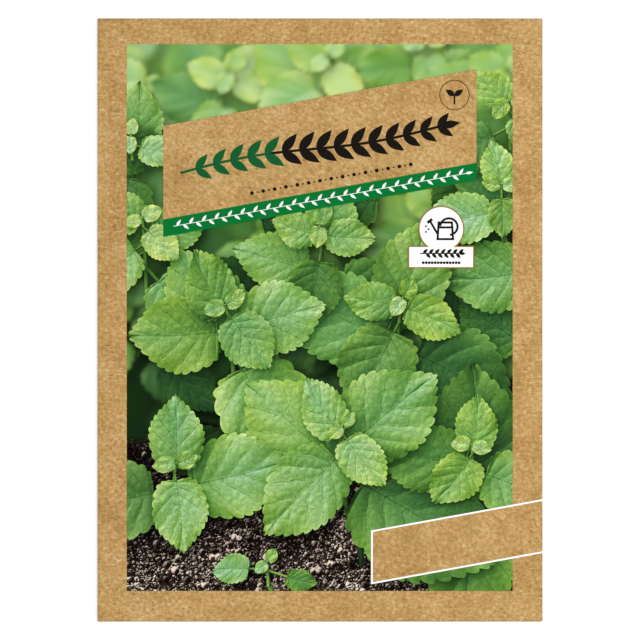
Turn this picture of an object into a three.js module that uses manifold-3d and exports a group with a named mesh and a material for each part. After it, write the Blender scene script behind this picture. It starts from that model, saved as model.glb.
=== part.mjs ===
// A flat paper seed packet, lying on its back: a kraft-paper envelope folded from one blank and glued
// behind, with a sealed inner sachet in it and a spoonful of small brown seeds in that.
// Millimetres. +X is to the right of the printed front, +Y towards the packet's top edge, +Z out of the
// front. The origin is at the middle of the packet's outline, on the surface that it lies on.
import * as THREE from "three";
import { mergeVertices } from "three/addons/utils/BufferGeometryUtils.js";
import Module from "manifold-3d";

// Driving dimensions.
const PACKET_WIDTH = 118;
const PACKET_HEIGHT = 160;
const PAPER = 0.18; // thickness of the kraft paper
const GLUE_GAP = 0.1; // room that a glue line takes between two layers of paper
const RIM_SLACK = 0.12; // air between the front and the seam wing at the rim
const FRONT_BULGE = 1.4; // how far the filled middle of the front stands above its rim
const RIM = 3; // flat strip round the front, before it starts to bulge
const BULGE_POWER_X = 2.4; // how flat the bulge is on top and how fast it falls at its sides
const BULGE_POWER_Y = 2.8;
const SEAM_WING = 12; // width of the wing that the back is glued to
const TOP_FLAP = 22;
const BOTTOM_FLAP = 16;
const FLAP_TAPER = 9; // how much narrower a flap is at its free edge, on each side
const FLAP_INSET = 0.4; // how far a flap starts in from the packet's side edges
const BACK_INSET = 1.2; // how far the back's free edge stops short of the left fold
const GLUE_FILM = 0.06; // thickness of a dried glue line
const SEAM_GLUE_WIDTH = 8;
const SEAM_GLUE_END = 5; // how far the seam's glue stops short of the packet's ends
const FLAP_GLUE_WIDTH = 88;
const FLAP_GLUE_HEIGHT = 8;
const FLAP_GLUE_EDGE = 1.5; // how far a flap's glue stays in from the flap's free edge

// Driving dimensions of the contents.
const SACHET_WIDTH = 66;
const SACHET_HEIGHT = 92;
const SACHET_FILM = 0.12;
const SACHET_SEAL_GAP = 0.06;
const SACHET_CENTRE_Y = -4;
const REST_GAP = 0.04; // between what lies loose and what it lies on
const SACHET_DOME = 1.15; // how far the seeds push the upper film up
const DOME_TOP_RADIUS = 13;
const DOME_FOOT_RADIUS = 27;
const PILE_RADIUS_X = 8.8;
const PILE_RADIUS_Y = 6.6;
const PILE_CENTRE_Y = -18; // the seeds lie low in the sachet
const PILE_CORE = 0.36; // thickness of the core that fuses the heap
const SEED_HALF_LENGTH = 0.85;
const SEED_HALF_WIDTH = 0.55;
const SEED_HALF_DEPTH = 0.42;
const SEED_PITCH = 1.34;
const SEED_SHAKE = 0.26; // how far a seed lies from its grid place, in pitches
const SEED_LIFT = 0.13; // how far the highest seeds lie above the lowest
const SEED_RANDOM_SEED = 41;

// Where the heap lies, from the sachet's own middle.
const PILE_IN_SACHET_Y = PILE_CENTRE_Y - SACHET_CENTRE_Y;

// Heights of the middle of each layer of paper at the rim, from the surface up.
const LAYER = PAPER + GLUE_GAP;
const FLAP_MID = PAPER / 2;
const BACK_MID = FLAP_MID + LAYER;
const WING_MID = BACK_MID + LAYER;
const FRONT_MID = WING_MID + PAPER + RIM_SLACK;

// Where the folds are. Each fold is half a turn, as wide as the two layers that it joins are apart.
const LEFT_FOLD_RADIUS = (FRONT_MID - WING_MID) / 2;
const RIGHT_FOLD_RADIUS = (FRONT_MID - BACK_MID) / 2;
const END_FOLD_RADIUS = (FRONT_MID - FLAP_MID) / 2;
const LEFT_FOLD_X = -PACKET_WIDTH / 2 + LEFT_FOLD_RADIUS + PAPER / 2;
const RIGHT_FOLD_X = PACKET_WIDTH / 2 - RIGHT_FOLD_RADIUS - PAPER / 2;
const END_FOLD_Y = PACKET_HEIGHT / 2 - END_FOLD_RADIUS - PAPER / 2;
const FOLD_CLEARANCE = 0.1; // from the ends of the wing and back to the end folds round them
const BODY_END_Y = END_FOLD_Y - FOLD_CLEARANCE;
const FLAP_LAP = 0.5; // how far a flap's root runs into the front that it is one sheet with

// The back is lifted off the surface round its rim, by the flaps, and comes down to it in the middle.
const BACK_STEP = 10;
const BACK_FLAT_X = 35;
const BACK_FLAT_TOP = END_FOLD_Y - TOP_FLAP - BACK_STEP;
const BACK_FLAT_BOTTOM = -END_FOLD_Y + BOTTOM_FLAP + BACK_STEP;

const FOLD_STEPS = 4;
const END_FOLD_STEPS = 6;
const STEP_STEPS = 4; // rows across the slope between the back's rim and its flat middle
const FRONT_COLUMNS = 16;
const MIDDLE_ROWS = 9;
const END_ROWS = 3;
const SACHET_COLUMNS = 16;
const SACHET_ROWS = 20;
const PILE_SIDES = 24;

const wasm = await Module();
wasm.setup();

/** The points that split the stretch from a to b into equal steps, without a itself. */
function stepsTo(a, b, count) {
  return Array.from({ length: count }, (_, i) => a + ((b - a) * (i + 1)) / count);
}

/** 0 below low, 1 above high, and a smooth ramp between. */
function ramp(value, low, high) {
  return THREE.MathUtils.smoothstep(value, low, high);
}

/**
 * A closed sheet: a box with a cell for each pair of stations, whose corners are moved to
 * place(across, along, height), with height measured from the middle of the sheet's thickness.
 */
function placedSheet(across, along, thickness, place) {
  const geometry = new THREE.BoxGeometry(1, 1, 1, across.length - 1, along.length - 1, 1);
  geometry.deleteAttribute("normal");
  geometry.deleteAttribute("uv");
  const position = geometry.getAttribute("position");
  const point = new THREE.Vector3();
  for (let i = 0; i < position.count; i++) {
    point.fromBufferAttribute(position, i);
    const column = Math.round((point.x + 0.5) * (across.length - 1));
    const row = Math.round((point.y + 0.5) * (along.length - 1));
    place(across[column], along[row], point.z * thickness, point);
    position.setXYZ(i, point.x, point.y, point.z);
  }
  return geometry;
}

/** A closed geometry as a solid that can be joined and cut. */
function solidOf(geometry) {
  const bare = geometry.clone();
  bare.deleteAttribute("normal");
  bare.deleteAttribute("uv");
  const merged = mergeVertices(bare);
  const mesh = new wasm.Mesh({
    numProp: 3,
    vertProperties: merged.getAttribute("position").array,
    triVerts: new Uint32Array(merged.index.array),
  });
  return new wasm.Manifold(mesh);
}

/** A solid back as a geometry. */
function geometryOf(solid) {
  const mesh = solid.getMesh();
  const geometry = new THREE.BufferGeometry();
  geometry.setAttribute("position", new THREE.BufferAttribute(mesh.vertProperties, 3));
  geometry.setIndex(new THREE.BufferAttribute(mesh.triVerts, 1));
  geometry.computeVertexNormals();
  return geometry;
}

/** How far the front stands above its rim: a low pillow, highest over the contents. */
function frontBulge(x, y) {
  const inX = 1 - Math.min(1, Math.abs(x) / (PACKET_WIDTH / 2 - RIM)) ** BULGE_POWER_X;
  const inY = 1 - Math.min(1, Math.abs(y) / (PACKET_HEIGHT / 2 - RIM)) ** BULGE_POWER_Y;
  return FRONT_BULGE * inX * inY;
}

/** How far the back hangs below its rim: nothing round the edges, one glued layer in the middle. */
function backDrop(x, y) {
  const inX = 1 - ramp(Math.abs(x), BACK_FLAT_X, BACK_FLAT_X + BACK_STEP);
  const overBottom = ramp(y, BACK_FLAT_BOTTOM - BACK_STEP, BACK_FLAT_BOTTOM);
  const underTop = 1 - ramp(y, BACK_FLAT_TOP, BACK_FLAT_TOP + BACK_STEP);
  return LAYER * inX * overBottom * underTop;
}

/** A point of a fold: turn runs from 0 on the lower layer to 1 on the upper one, outwards along side. */
function foldPoint(centre, side, lowMid, highMid, turn, height) {
  const angle = Math.PI * (turn - 0.5);
  const radius = (highMid - lowMid) / 2 + height;
  return [centre + side * radius * Math.cos(angle), (lowMid + highMid) / 2 + radius * Math.sin(angle)];
}

/**
 * The stations of the blank from the wing's free edge, round the left fold, over the front, round the
 * right fold and along the back to its own free edge, each as the panel it lies in and a place there.
 */
function wrapStations() {
  const wingEdge = LEFT_FOLD_X + SEAM_WING;
  const backEdge = -PACKET_WIDTH / 2 + BACK_INSET;
  const flatEdge = BACK_FLAT_X + BACK_STEP;
  const backXs = [
    flatEdge,
    ...stepsTo(flatEdge, BACK_FLAT_X, STEP_STEPS),
    -BACK_FLAT_X,
    ...stepsTo(-BACK_FLAT_X, -flatEdge, STEP_STEPS),
    backEdge,
  ];
  return [
    { panel: "wing", at: wingEdge },
    { panel: "wing", at: LEFT_FOLD_X },
    ...stepsTo(0, 1, FOLD_STEPS).map((at) => ({ panel: "leftFold", at })),
    ...stepsTo(LEFT_FOLD_X, RIGHT_FOLD_X, FRONT_COLUMNS).map((at) => ({ panel: "front", at })),
    ...stepsTo(1, 0, FOLD_STEPS).map((at) => ({ panel: "rightFold", at })),
    ...backXs.map((at) => ({ panel: "back", at })),
  ];
}

/** The packet's rows, close together where the back steps down to the surface. */
function wrapRows() {
  return [
    -BODY_END_Y,
    BACK_FLAT_BOTTOM - BACK_STEP,
    ...stepsTo(BACK_FLAT_BOTTOM - BACK_STEP, BACK_FLAT_BOTTOM, STEP_STEPS),
    ...stepsTo(BACK_FLAT_BOTTOM, BACK_FLAT_TOP, MIDDLE_ROWS),
    ...stepsTo(BACK_FLAT_TOP, BACK_FLAT_TOP + BACK_STEP, STEP_STEPS),
    ...stepsTo(BACK_FLAT_TOP + BACK_STEP, BODY_END_Y, END_ROWS),
  ];
}

/** The wing, front and back: the blank's middle strip, wrapped into a flat tube. */
function wrappedBody() {
  const panels = {
    wing: (x, y, height) => [x, WING_MID - height],
    leftFold: (turn, y, height) => foldPoint(LEFT_FOLD_X, -1, WING_MID, FRONT_MID, turn, height),
    front: (x, y, height) => [x, FRONT_MID + frontBulge(x, y) + height],
    rightFold: (turn, y, height) => foldPoint(RIGHT_FOLD_X, 1, BACK_MID, FRONT_MID, turn, height),
    back: (x, y, height) => [x, BACK_MID - backDrop(x, y) - height],
  };
  return placedSheet(wrapStations(), wrapRows(), PAPER, (station, y, height, point) => {
    const [x, z] = panels[station.panel](station.at, y, height);
    point.set(x, y, z);
  });
}

/** One end flap, from its root in the front, over the end fold and in along the back. End is 1 or -1. */
function endFlap(end, length) {
  const path = [
    { panel: "front", at: END_FOLD_Y - FLAP_LAP },
    { panel: "fold", at: 1 },
    ...stepsTo(1, 0, END_FOLD_STEPS).map((at) => ({ panel: "fold", at })),
    { panel: "flap", at: END_FOLD_Y - length },
  ];
  return placedSheet([-end, end], path, PAPER, (side, station, height, point) => {
    let along = station.at;
    let z = station.panel === "front" ? FRONT_MID + height : FLAP_MID - height;
    if (station.panel === "fold")
      [along, z] = foldPoint(END_FOLD_Y, 1, FLAP_MID, FRONT_MID, station.at, height);
    const taper = station.panel === "flap" ? FLAP_TAPER : 0;
    point.set(side * (PACKET_WIDTH / 2 - FLAP_INSET - taper), end * along, z);
  });
}

/** The packet's one folded sheet of kraft paper, with both end flaps. */
function envelopeGeometry() {
  const sheet = solidOf(wrappedBody())
    .add(solidOf(endFlap(1, TOP_FLAP)))
    .add(solidOf(endFlap(-1, BOTTOM_FLAP)));
  return geometryOf(sheet);
}

/** A flat glue line: it fills most of the gap between two layers, and touches neither. */
function glueGeometry(width, height) {
  return new THREE.BoxGeometry(width, height, GLUE_FILM);
}

/** How far the sachet's upper film is pushed up over the seeds. */
function sachetDome(x, y) {
  const away = Math.hypot(x, y - PILE_IN_SACHET_Y);
  return SACHET_DOME * (1 - ramp(away, DOME_TOP_RADIUS, DOME_FOOT_RADIUS));
}

/**
 * The inner sachet: one film folded at its lower end, with its other three edges pressed face to face.
 * Its own middle is at x 0, y 0, and it stands on z 0.
 */
function sachetGeometry() {
  const lowMid = SACHET_FILM / 2;
  const highMid = lowMid + SACHET_FILM + SACHET_SEAL_GAP;
  const foldRadius = (highMid - lowMid) / 2;
  const top = SACHET_HEIGHT / 2;
  const foldY = -SACHET_HEIGHT / 2 + foldRadius + SACHET_FILM / 2;
  const edge = SACHET_WIDTH / 2;
  const across = [-edge, ...stepsTo(-edge, edge, SACHET_COLUMNS)];
  const path = [
    { panel: "lower", at: top },
    { panel: "lower", at: foldY },
    ...stepsTo(0, 1, FOLD_STEPS).map((at) => ({ panel: "fold", at })),
    ...stepsTo(foldY, top, SACHET_ROWS).map((at) => ({ panel: "upper", at })),
  ];
  return placedSheet(across, path, SACHET_FILM, (x, station, height, point) => {
    let y = station.at;
    let z = lowMid - height;
    if (station.panel === "fold")
      [y, z] = foldPoint(foldY, -1, lowMid, highMid, station.at, height);
    if (station.panel === "upper") z = highMid + sachetDome(x, y) + height;
    point.set(x, y, z);
  });
}

/** A repeatable stream of numbers from 0 to 1. */
function randomStream(seed) {
  let state = seed >>> 0;
  return () => {
    state = (state + 0x6d2b79f5) >>> 0;
    let mixed = Math.imul(state ^ (state >>> 15), 1 | state);
    mixed = (mixed + Math.imul(mixed ^ (mixed >>> 7), 61 | mixed)) ^ mixed;
    return ((mixed ^ (mixed >>> 14)) >>> 0) / 2 ** 32;
  };
}

/** One seed: a small oval nutlet with its middle at x, y and its lowest point on z lift. */
function seedSolid(x, y, turn, lift) {
  const seed = new THREE.IcosahedronGeometry(1, 0);
  seed.scale(SEED_HALF_LENGTH, SEED_HALF_WIDTH, SEED_HALF_DEPTH);
  seed.rotateZ(turn);
  seed.translate(x, y, SEED_HALF_DEPTH + lift);
  return solidOf(seed);
}

/** The seeds, strewn on a close grid with their places shaken, and fused by a thin core that they cover. */
function seedPileGeometry() {
  const random = randomStream(SEED_RANDOM_SEED);
  const rowPitch = SEED_PITCH * Math.sin(Math.PI / 3);
  const rows = Math.floor(PILE_RADIUS_Y / rowPitch);
  const columns = Math.ceil(PILE_RADIUS_X / SEED_PITCH);
  const core = new THREE.CylinderGeometry(1, 1, PILE_CORE, PILE_SIDES);
  core.rotateX(Math.PI / 2);
  core.scale(PILE_RADIUS_X, PILE_RADIUS_Y, 1);
  core.translate(0, 0, SEED_HALF_DEPTH);
  let pile = solidOf(core);
  for (let row = -rows; row <= rows; row++)
    for (let column = -columns; column <= columns; column++) {
      const x = (column + (row % 2) / 2 + (random() - 0.5) * SEED_SHAKE) * SEED_PITCH;
      const y = (row + (random() - 0.5) * SEED_SHAKE) * rowPitch;
      const turn = random() * Math.PI;
      const lift = random() * SEED_LIFT;
      const isIn = (x / PILE_RADIUS_X) ** 2 + (y / PILE_RADIUS_Y) ** 2 < 1;
      if (isIn) pile = pile.add(seedSolid(x, y, turn, lift));
    }
  return geometryOf(pile);
}

const kraftPaper = new THREE.MeshStandardMaterial({ color: 0xc19a62, roughness: 0.85, metalness: 0 });
const driedGlue = new THREE.MeshStandardMaterial({ color: 0xd9cfae, roughness: 0.4, metalness: 0 });
const sachetPaper = new THREE.MeshStandardMaterial({ color: 0xe4e5e2, roughness: 0.45, metalness: 0.1 });
const seedCoat = new THREE.MeshStandardMaterial({ color: 0x4a3222, roughness: 0.7, metalness: 0 });

/** A named mesh at a place in its group. */
function piece(name, geometry, material, x = 0, y = 0, z = 0) {
  const mesh = new THREE.Mesh(geometry, material);
  mesh.name = name;
  mesh.position.set(x, y, z);
  return mesh;
}

// A glue line's height is halfway between the two layers that it joins.
const SEAM_GLUE_X = LEFT_FOLD_X + SEAM_WING / 2;
const SEAM_GLUE_MID = (BACK_MID + WING_MID) / 2;
const FLAP_GLUE_MID = (FLAP_MID + BACK_MID) / 2;
const FLAP_GLUE_IN = FLAP_GLUE_EDGE + FLAP_GLUE_HEIGHT / 2;
const TOP_GLUE_Y = END_FOLD_Y - TOP_FLAP + FLAP_GLUE_IN;
const BOTTOM_GLUE_Y = -END_FOLD_Y + BOTTOM_FLAP - FLAP_GLUE_IN;
const seamGlue = glueGeometry(SEAM_GLUE_WIDTH, PACKET_HEIGHT - 2 * SEAM_GLUE_END);
const flapGlue = glueGeometry(FLAP_GLUE_WIDTH, FLAP_GLUE_HEIGHT);

const envelope = new THREE.Group();
envelope.add(
  piece("packet_envelope", envelopeGeometry(), kraftPaper),
  piece("side_seam_glue", seamGlue, driedGlue, SEAM_GLUE_X, 0, SEAM_GLUE_MID),
  piece("top_flap_glue", flapGlue, driedGlue, 0, TOP_GLUE_Y, FLAP_GLUE_MID),
  piece("bottom_flap_glue", flapGlue, driedGlue, 0, BOTTOM_GLUE_Y, FLAP_GLUE_MID),
);

// The sachet lies on the back's flat middle, and the seeds lie on the sachet's lower film.
const contents = new THREE.Group();
contents.position.set(0, SACHET_CENTRE_Y, PAPER + REST_GAP);
contents.add(
  piece("seed_sachet", sachetGeometry(), sachetPaper),
  piece("seeds", seedPileGeometry(), seedCoat, 0, PILE_IN_SACHET_Y, SACHET_FILM + REST_GAP),
);

const packet = new THREE.Group();
packet.add(envelope, contents);

export default packet;
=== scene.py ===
"""Dresses a folded seed packet: its kraft paper, its printed front and the studio that it lies in.

Shapes are worked out in millimetres in the packet's own frame, with +X to the right of the front, +Y
towards its top edge and +Z out of it, and they become metres when a mesh is made.
"""

import logging
import math
from dataclasses import dataclass, field, replace
from enum import Enum

import bpy
import numpy as np
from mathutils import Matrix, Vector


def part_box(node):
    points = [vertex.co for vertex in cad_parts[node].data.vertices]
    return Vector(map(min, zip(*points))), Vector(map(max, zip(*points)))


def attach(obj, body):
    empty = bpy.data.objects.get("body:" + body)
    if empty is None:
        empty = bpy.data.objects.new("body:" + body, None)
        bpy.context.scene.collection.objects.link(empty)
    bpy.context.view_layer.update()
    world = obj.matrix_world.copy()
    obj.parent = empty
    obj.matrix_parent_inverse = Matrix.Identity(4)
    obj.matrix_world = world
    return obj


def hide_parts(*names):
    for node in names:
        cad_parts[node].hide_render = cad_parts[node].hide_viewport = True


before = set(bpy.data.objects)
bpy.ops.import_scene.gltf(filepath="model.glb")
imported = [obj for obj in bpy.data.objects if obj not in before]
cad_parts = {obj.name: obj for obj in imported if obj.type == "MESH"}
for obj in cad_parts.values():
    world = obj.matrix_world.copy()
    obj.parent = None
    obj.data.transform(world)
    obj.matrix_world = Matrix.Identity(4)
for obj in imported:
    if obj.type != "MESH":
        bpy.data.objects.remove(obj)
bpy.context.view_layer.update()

Array = np.ndarray
Grid = tuple[Array, Array]  # x and y, each by row and column
Node = bpy.types.Node
NodeTree = bpy.types.NodeTree
Random = np.random.Generator
Socket = bpy.types.NodeSocket
Material = bpy.types.Material
MeshObject = bpy.types.Object
Triple = tuple[float, float, float]
Colour = Triple

LOG = logging.getLogger("seed_packet")
MM = 0.001
BODY = "root"
FAR = 99.0  # a distance that no line or vein reaches
BUMP_HEIGHT = 0.05  # the relief that a bump stands for, in millimetres
AWAY_FROM_LIGHT = (0.14, -0.17)  # a step in x and y across a pattern whose cells are one unit wide
SOIL_SHADES = [(0, (2, 0, 0)), (0.08, (26, 17, 14)), (0.3, (88, 76, 70))]
SOIL_SHADES += [(0.62, (172, 158, 148)), (1, (240, 227, 212))]


class Slot(Enum):
    """Names of material slots, one of which each ink carries."""

    KRAFT = "kraft_paper"
    PICTURE = "printed_picture"
    PRINTED_KRAFT = "printed_kraft"
    GREEN = "printed_green"
    WHITE = "printed_white"
    RUST = "printed_rust"
    BLACK = "printed_black"


class Level(Enum):
    """How far each layer of ink stands above the paper, in millimetres."""

    BACKDROP = 0.02
    PLANTS = 0.03
    PANEL_EDGE = 0.17
    PANEL = 0.18
    SECOND_PANEL = 0.185
    MARK = 0.19
    SECOND_MARK = 0.195


def to_linear(screen: Array | Colour) -> Array:
    """Screen colours, from 0 to 255 by the usual screen curve, as linear light from 0 to 1."""
    value = np.clip(np.asarray(screen, float), 0, 255) / 255
    return np.where(value <= 0.04045, value / 12.92, ((value + 0.055) / 1.055) ** 2.4)


def ramp(value: Array | float, low: float, high: float) -> Array:
    """0 below low, 1 above high, and a smooth cubic step between."""
    part = np.clip((value - low) / (high - low), 0, 1)
    return part * part * (3 - 2 * part)


# ---- Meshes ----


class MeshMaker:
    """Gathers grids of points into one mesh of quads, with the colours that belong to its points."""

    def __init__(self) -> None:
        """Starts with no points."""
        self.points: list[Array] = []
        self.quads: list[Array] = []
        self.colours: dict[str, list[Array]] = {}
        self.count = 0

    def add_points(self, points: Array, **colours: Array) -> Array:
        """Adds points without faces.

        Args:
            points: Places in millimetres, in any shape that ends in 3.
            colours: Named values with four numbers for each point.

        Returns:
            The points' numbers in the mesh, in the shape of the grid.
        """
        shape = points.shape[:-1]
        total = int(np.prod(shape))
        self.points.append(points.reshape(-1, 3))
        for name, values in colours.items():
            self.colours.setdefault(name, []).append(values.reshape(-1, 4))
        numbers = np.arange(total).reshape(shape) + self.count
        self.count += total
        return numbers

    def add_quads(self, numbers: Array, keep: Array | None = None) -> None:
        """Joins a grid of point numbers by quads.

        A cell's corners go round from its row and column to the next column, the next row and back, so
        a grid whose columns run right and whose rows run up faces +Z.

        Args:
            numbers: Point numbers by row and column.
            keep: Which cells get a face. All of them, if it is left out.
        """
        corners = [numbers[:-1, :-1], numbers[:-1, 1:], numbers[1:, 1:], numbers[1:, :-1]]
        quads = np.stack(corners, axis=-1)
        self.quads.append(quads.reshape(-1, 4) if keep is None else quads[keep])

    def add_grid(self, points: Array, keep: Array | None = None, **colours: Array) -> None:
        """Adds a grid of points and its quads, as add_points and add_quads do."""
        self.add_quads(self.add_points(points, **colours), keep)

    def add_loop(self, points: Array) -> None:
        """Adds a grid whose last row joins its first one."""
        numbers = self.add_points(points)
        self.add_quads(np.concatenate([numbers, numbers[:1]]))

    def make(self, name: str, material: Material) -> MeshObject:
        """Makes the mesh and its object.

        Args:
            name: The piece's name.
            material: Its only material.

        Returns:
            The object, at the origin, with its points in metres.
        """
        quads = np.concatenate(self.quads)
        used = np.unique(quads)
        renumber = np.zeros(self.count, int)
        renumber[used] = np.arange(len(used))
        places = (np.concatenate(self.points)[used] * MM).astype(np.float32)
        mesh = bpy.data.meshes.new(name)
        mesh.vertices.add(len(used))
        mesh.vertices.foreach_set("co", places.ravel())
        mesh.loops.add(quads.size)
        mesh.loops.foreach_set("vertex_index", renumber[quads].astype(np.int32).ravel())
        mesh.polygons.add(len(quads))
        mesh.polygons.foreach_set("loop_start", np.arange(0, quads.size, 4, dtype=np.int32))
        mesh.polygons.foreach_set("use_smooth", np.ones(len(quads), bool))
        for key, parts in self.colours.items():
            attribute = mesh.attributes.new(key, "FLOAT_COLOR", "POINT")
            attribute.data.foreach_set("color", np.concatenate(parts)[used].astype(np.float32).ravel())
        mesh.update(calc_edges=True)
        mesh.validate()
        mesh.materials.append(material)
        piece = bpy.data.objects.new(name, mesh)
        bpy.context.scene.collection.objects.link(piece)
        return piece


def ribbon(path: Array, half_width: Array | float, columns: int = 3) -> Grid:
    """A flat ribbon along a path, as wide on one side of it as on the other.

    Each point of the path is moved along its mitre: the sum of the normals of the two stretches that
    meet there, divided by one plus their dot product, so that the width stays true round corners.

    Args:
        path: Points by row, as x and y.
        half_width: One half width, or one for each point.
        columns: Points across the ribbon.

    Returns:
        x and y by row and column, with the columns running to the right of the path's direction.
    """
    steps = np.diff(path, axis=0)
    along = steps / np.linalg.norm(steps, axis=1, keepdims=True)
    right = np.stack([along[:, 1], -along[:, 0]], axis=1)
    before = np.concatenate([right[:1], right])
    after = np.concatenate([right, right[-1:]])
    mitre = (before + after) / (1 + np.sum(before * after, axis=1, keepdims=True))
    across = np.linspace(-1, 1, columns)[None, :] * np.broadcast_to(half_width, len(path))[:, None]
    return path[:, :1] + mitre[:, :1] * across, path[:, 1:] + mitre[:, 1:] * across


def blade(base: Array, heading: float, length: float, half_width: float) -> Grid:
    """A small pointed leaf: half its width is a sine of its length's 0.8th power.

    Args:
        base: The leaf's foot, as x and y.
        heading: The way its tip points, in radians from +X.
        length: Foot to tip.
        half_width: Its widest half.

    Returns:
        x and y by row and column.
    """
    part = np.linspace(0.015, 0.985, 13)
    direction = np.array([math.cos(heading), math.sin(heading)])
    path = np.asarray(base) + part[:, None] * length * direction
    return ribbon(path, half_width * np.sin(np.pi * part**0.8), 5)


def vine(path: Array, every: int, leaf: float, half_width: float, pen: float) -> tuple[Grid, list[Grid]]:
    """A straight vine: a line with a leaf at every so many points, on one side and then the other.

    Args:
        path: Points of the line, as x and y.
        every: Points from one leaf to the next.
        leaf: The leaves' length.
        half_width: Their widest half.
        pen: Half the line's width.

    Returns:
        The line's grid and the leaves' grids.
    """
    slope = math.atan2(*(path[-1] - path[0])[::-1])
    feet = path[1 : -every : every]
    turns = (0.8, -0.8)
    leaves = [blade(foot, slope + turns[k % 2], leaf, half_width) for k, foot in enumerate(feet)]
    leaves.append(blade(path[-2], slope, leaf, half_width))
    return ribbon(path[:-1], pen), leaves


def disc(centre: Array, radius: float, cells: int) -> Grid:
    """A disc without a pole: a square whose x is scaled by the root of 1 - y*y/2, and y alike.

    Args:
        centre: Its middle, as x and y.
        radius: Its radius.
        cells: Cells along each side of the square.

    Returns:
        x and y by row and column.
    """
    side = np.linspace(-1, 1, cells + 1)
    across, up = np.meshgrid(side, side)
    x = centre[0] + radius * across * np.sqrt(1 - up**2 / 2)
    return x, centre[1] + radius * up * np.sqrt(1 - across**2 / 2)


def dress(piece: MeshObject) -> None:
    """Lets a piece ride on the packet and reports it.

    Args:
        piece: The finished piece.
    """
    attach(piece, BODY)
    LOG.info("%s: %d faces", piece.name, len(piece.data.polygons))


# ---- Node trees ----


class NodeKit:
    """Short calls for laying out one node tree."""

    def __init__(self, tree: NodeTree) -> None:
        """Works on the given tree."""
        self.tree = tree

    def feed(self, target: Socket, source: object) -> None:
        """Links a socket to a target, or sets the target's own value.

        Args:
            target: An input of a node.
            source: Another node's output, or a value.
        """
        if isinstance(source, Socket):
            self.tree.links.new(source, target)
        else:
            target.default_value = source

    def add(self, kind: str, *values: object, **settings: object) -> Node:
        """Adds a node.

        Args:
            kind: Its type.
            *values: What its first inputs are fed, in their order.
            **settings: Its properties, and under names with a capital what its inputs are fed.

        Returns:
            The node.
        """
        node = self.tree.nodes.new(kind)
        for name, value in settings.items():
            if name[0].isupper():
                self.feed(node.inputs[name], value)
            else:
                setattr(node, name, value)
        for target, value in zip(node.inputs, values):
            self.feed(target, value)
        return node

    def math(self, operation: str, *values: object) -> Socket:
        """A Math node of up to three values."""
        return self.add("ShaderNodeMath", *values, operation=operation).outputs[0]

    def apart(self, first: object, second: object) -> Socket:
        """How far apart two values are."""
        return self.math("ABSOLUTE", self.math("SUBTRACT", first, second))

    def scaled(self, vector: object, scale: object) -> Socket:
        """A vector times a number."""
        return self.add("ShaderNodeVectorMath", vector, operation="SCALE", Scale=scale).outputs[0]

    def moved(self, vector: Socket, shift: object) -> Socket:
        """The sum of two vectors."""
        return self.add("ShaderNodeVectorMath", vector, shift, operation="ADD").outputs[0]

    def away(self, vector: Socket, scale: float) -> Socket:
        """A place moved a step away from the light, across a pattern of the given scale."""
        return self.moved(vector, (AWAY_FROM_LIGHT[0] / scale, AWAY_FROM_LIGHT[1] / scale, 0.0))

    def mix(self, factor: object, first: object, second: object, blend: str = "MIX") -> Socket:
        """A Mix node for colours.

        Args:
            factor: How much the second colour counts.
            first: The first colour.
            second: The second colour.
            blend: How the two are put together.

        Returns:
            The mixed colour.
        """
        node = self.add("ShaderNodeMix", factor, data_type="RGBA", blend_type=blend)
        self.feed(node.inputs[6], first)
        self.feed(node.inputs[7], second)
        return node.outputs[2]

    def step(self, value: object, low: float, high: float, start: float = 0, end: float = 1) -> Socket:
        """A smooth step from start at low to end at high."""
        node = self.add("ShaderNodeMapRange", value, low, high, start, end, interpolation_type="SMOOTHSTEP")
        return node.outputs[0]

    def noise(self, vector: Socket, scale: float, detail: float = 2) -> Node:
        """A Noise Texture."""
        return self.add("ShaderNodeTexNoise", Vector=vector, Scale=scale, Detail=detail)

    def swing(self, vector: Socket, scale: float, detail: float = 2) -> Socket:
        """The value of a Noise Texture, as how far it is from a half."""
        return self.math("SUBTRACT", self.noise(vector, scale, detail).outputs[0], 0.5)

    def cells(self, vector: Socket, scale: float, feature: str = "F1") -> Node:
        """A Voronoi Texture."""
        return self.add("ShaderNodeTexVoronoi", feature=feature, Vector=vector, Scale=scale)

    def turned(self, vector: Socket, angle: float, scale: Triple, shift: Triple = (0, 0, 0)) -> Socket:
        """A Mapping node that turns a pattern about Z by an angle in radians and stretches it."""
        turn = {"Location": shift, "Rotation": (0, 0, angle), "Scale": scale}
        return self.add("ShaderNodeMapping", Vector=vector, **turn).outputs[0]

    def split(self, source: Socket, kind: str = "Color") -> list[Socket]:
        """The three parts of a colour, or of a vector if kind is XYZ."""
        return list(self.add("ShaderNodeSeparate" + kind, source).outputs)

    def attribute(self, name: str) -> Node:
        """An Attribute node, which reads the piece's own values of that name."""
        return self.add("ShaderNodeAttribute", attribute_name=name)

    def ramp(self, value: Socket, stops: list[tuple[float, Colour]]) -> Socket:
        """A Color Ramp.

        Args:
            value: Where on the ramp, from 0 to 1.
            stops: Places on it and their screen colours.

        Returns:
            The colour there.
        """
        node = self.add("ShaderNodeValToRGB", value)
        elements = node.color_ramp.elements
        while len(elements) < len(stops):
            elements.new(0.5)
        for element, (place, colour) in zip(elements, stops):
            element.position = place
            element.color = (*to_linear(colour), 1)
        return node.outputs[0]

    def bump(self, shader: Node, height: Socket, strength: float) -> None:
        """Gives a shader's surface a small relief that is BUMP_HEIGHT where height is 1."""
        node = self.add("ShaderNodeBump", Strength=strength, Distance=BUMP_HEIGHT * MM, Height=height)
        self.feed(shader.inputs["Normal"], node.outputs["Normal"])

    def group(self, tree: NodeTree, **values: object) -> Node:
        """A node group with its inputs fed."""
        return self.add("ShaderNodeGroup", node_tree=tree, **values)


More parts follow.
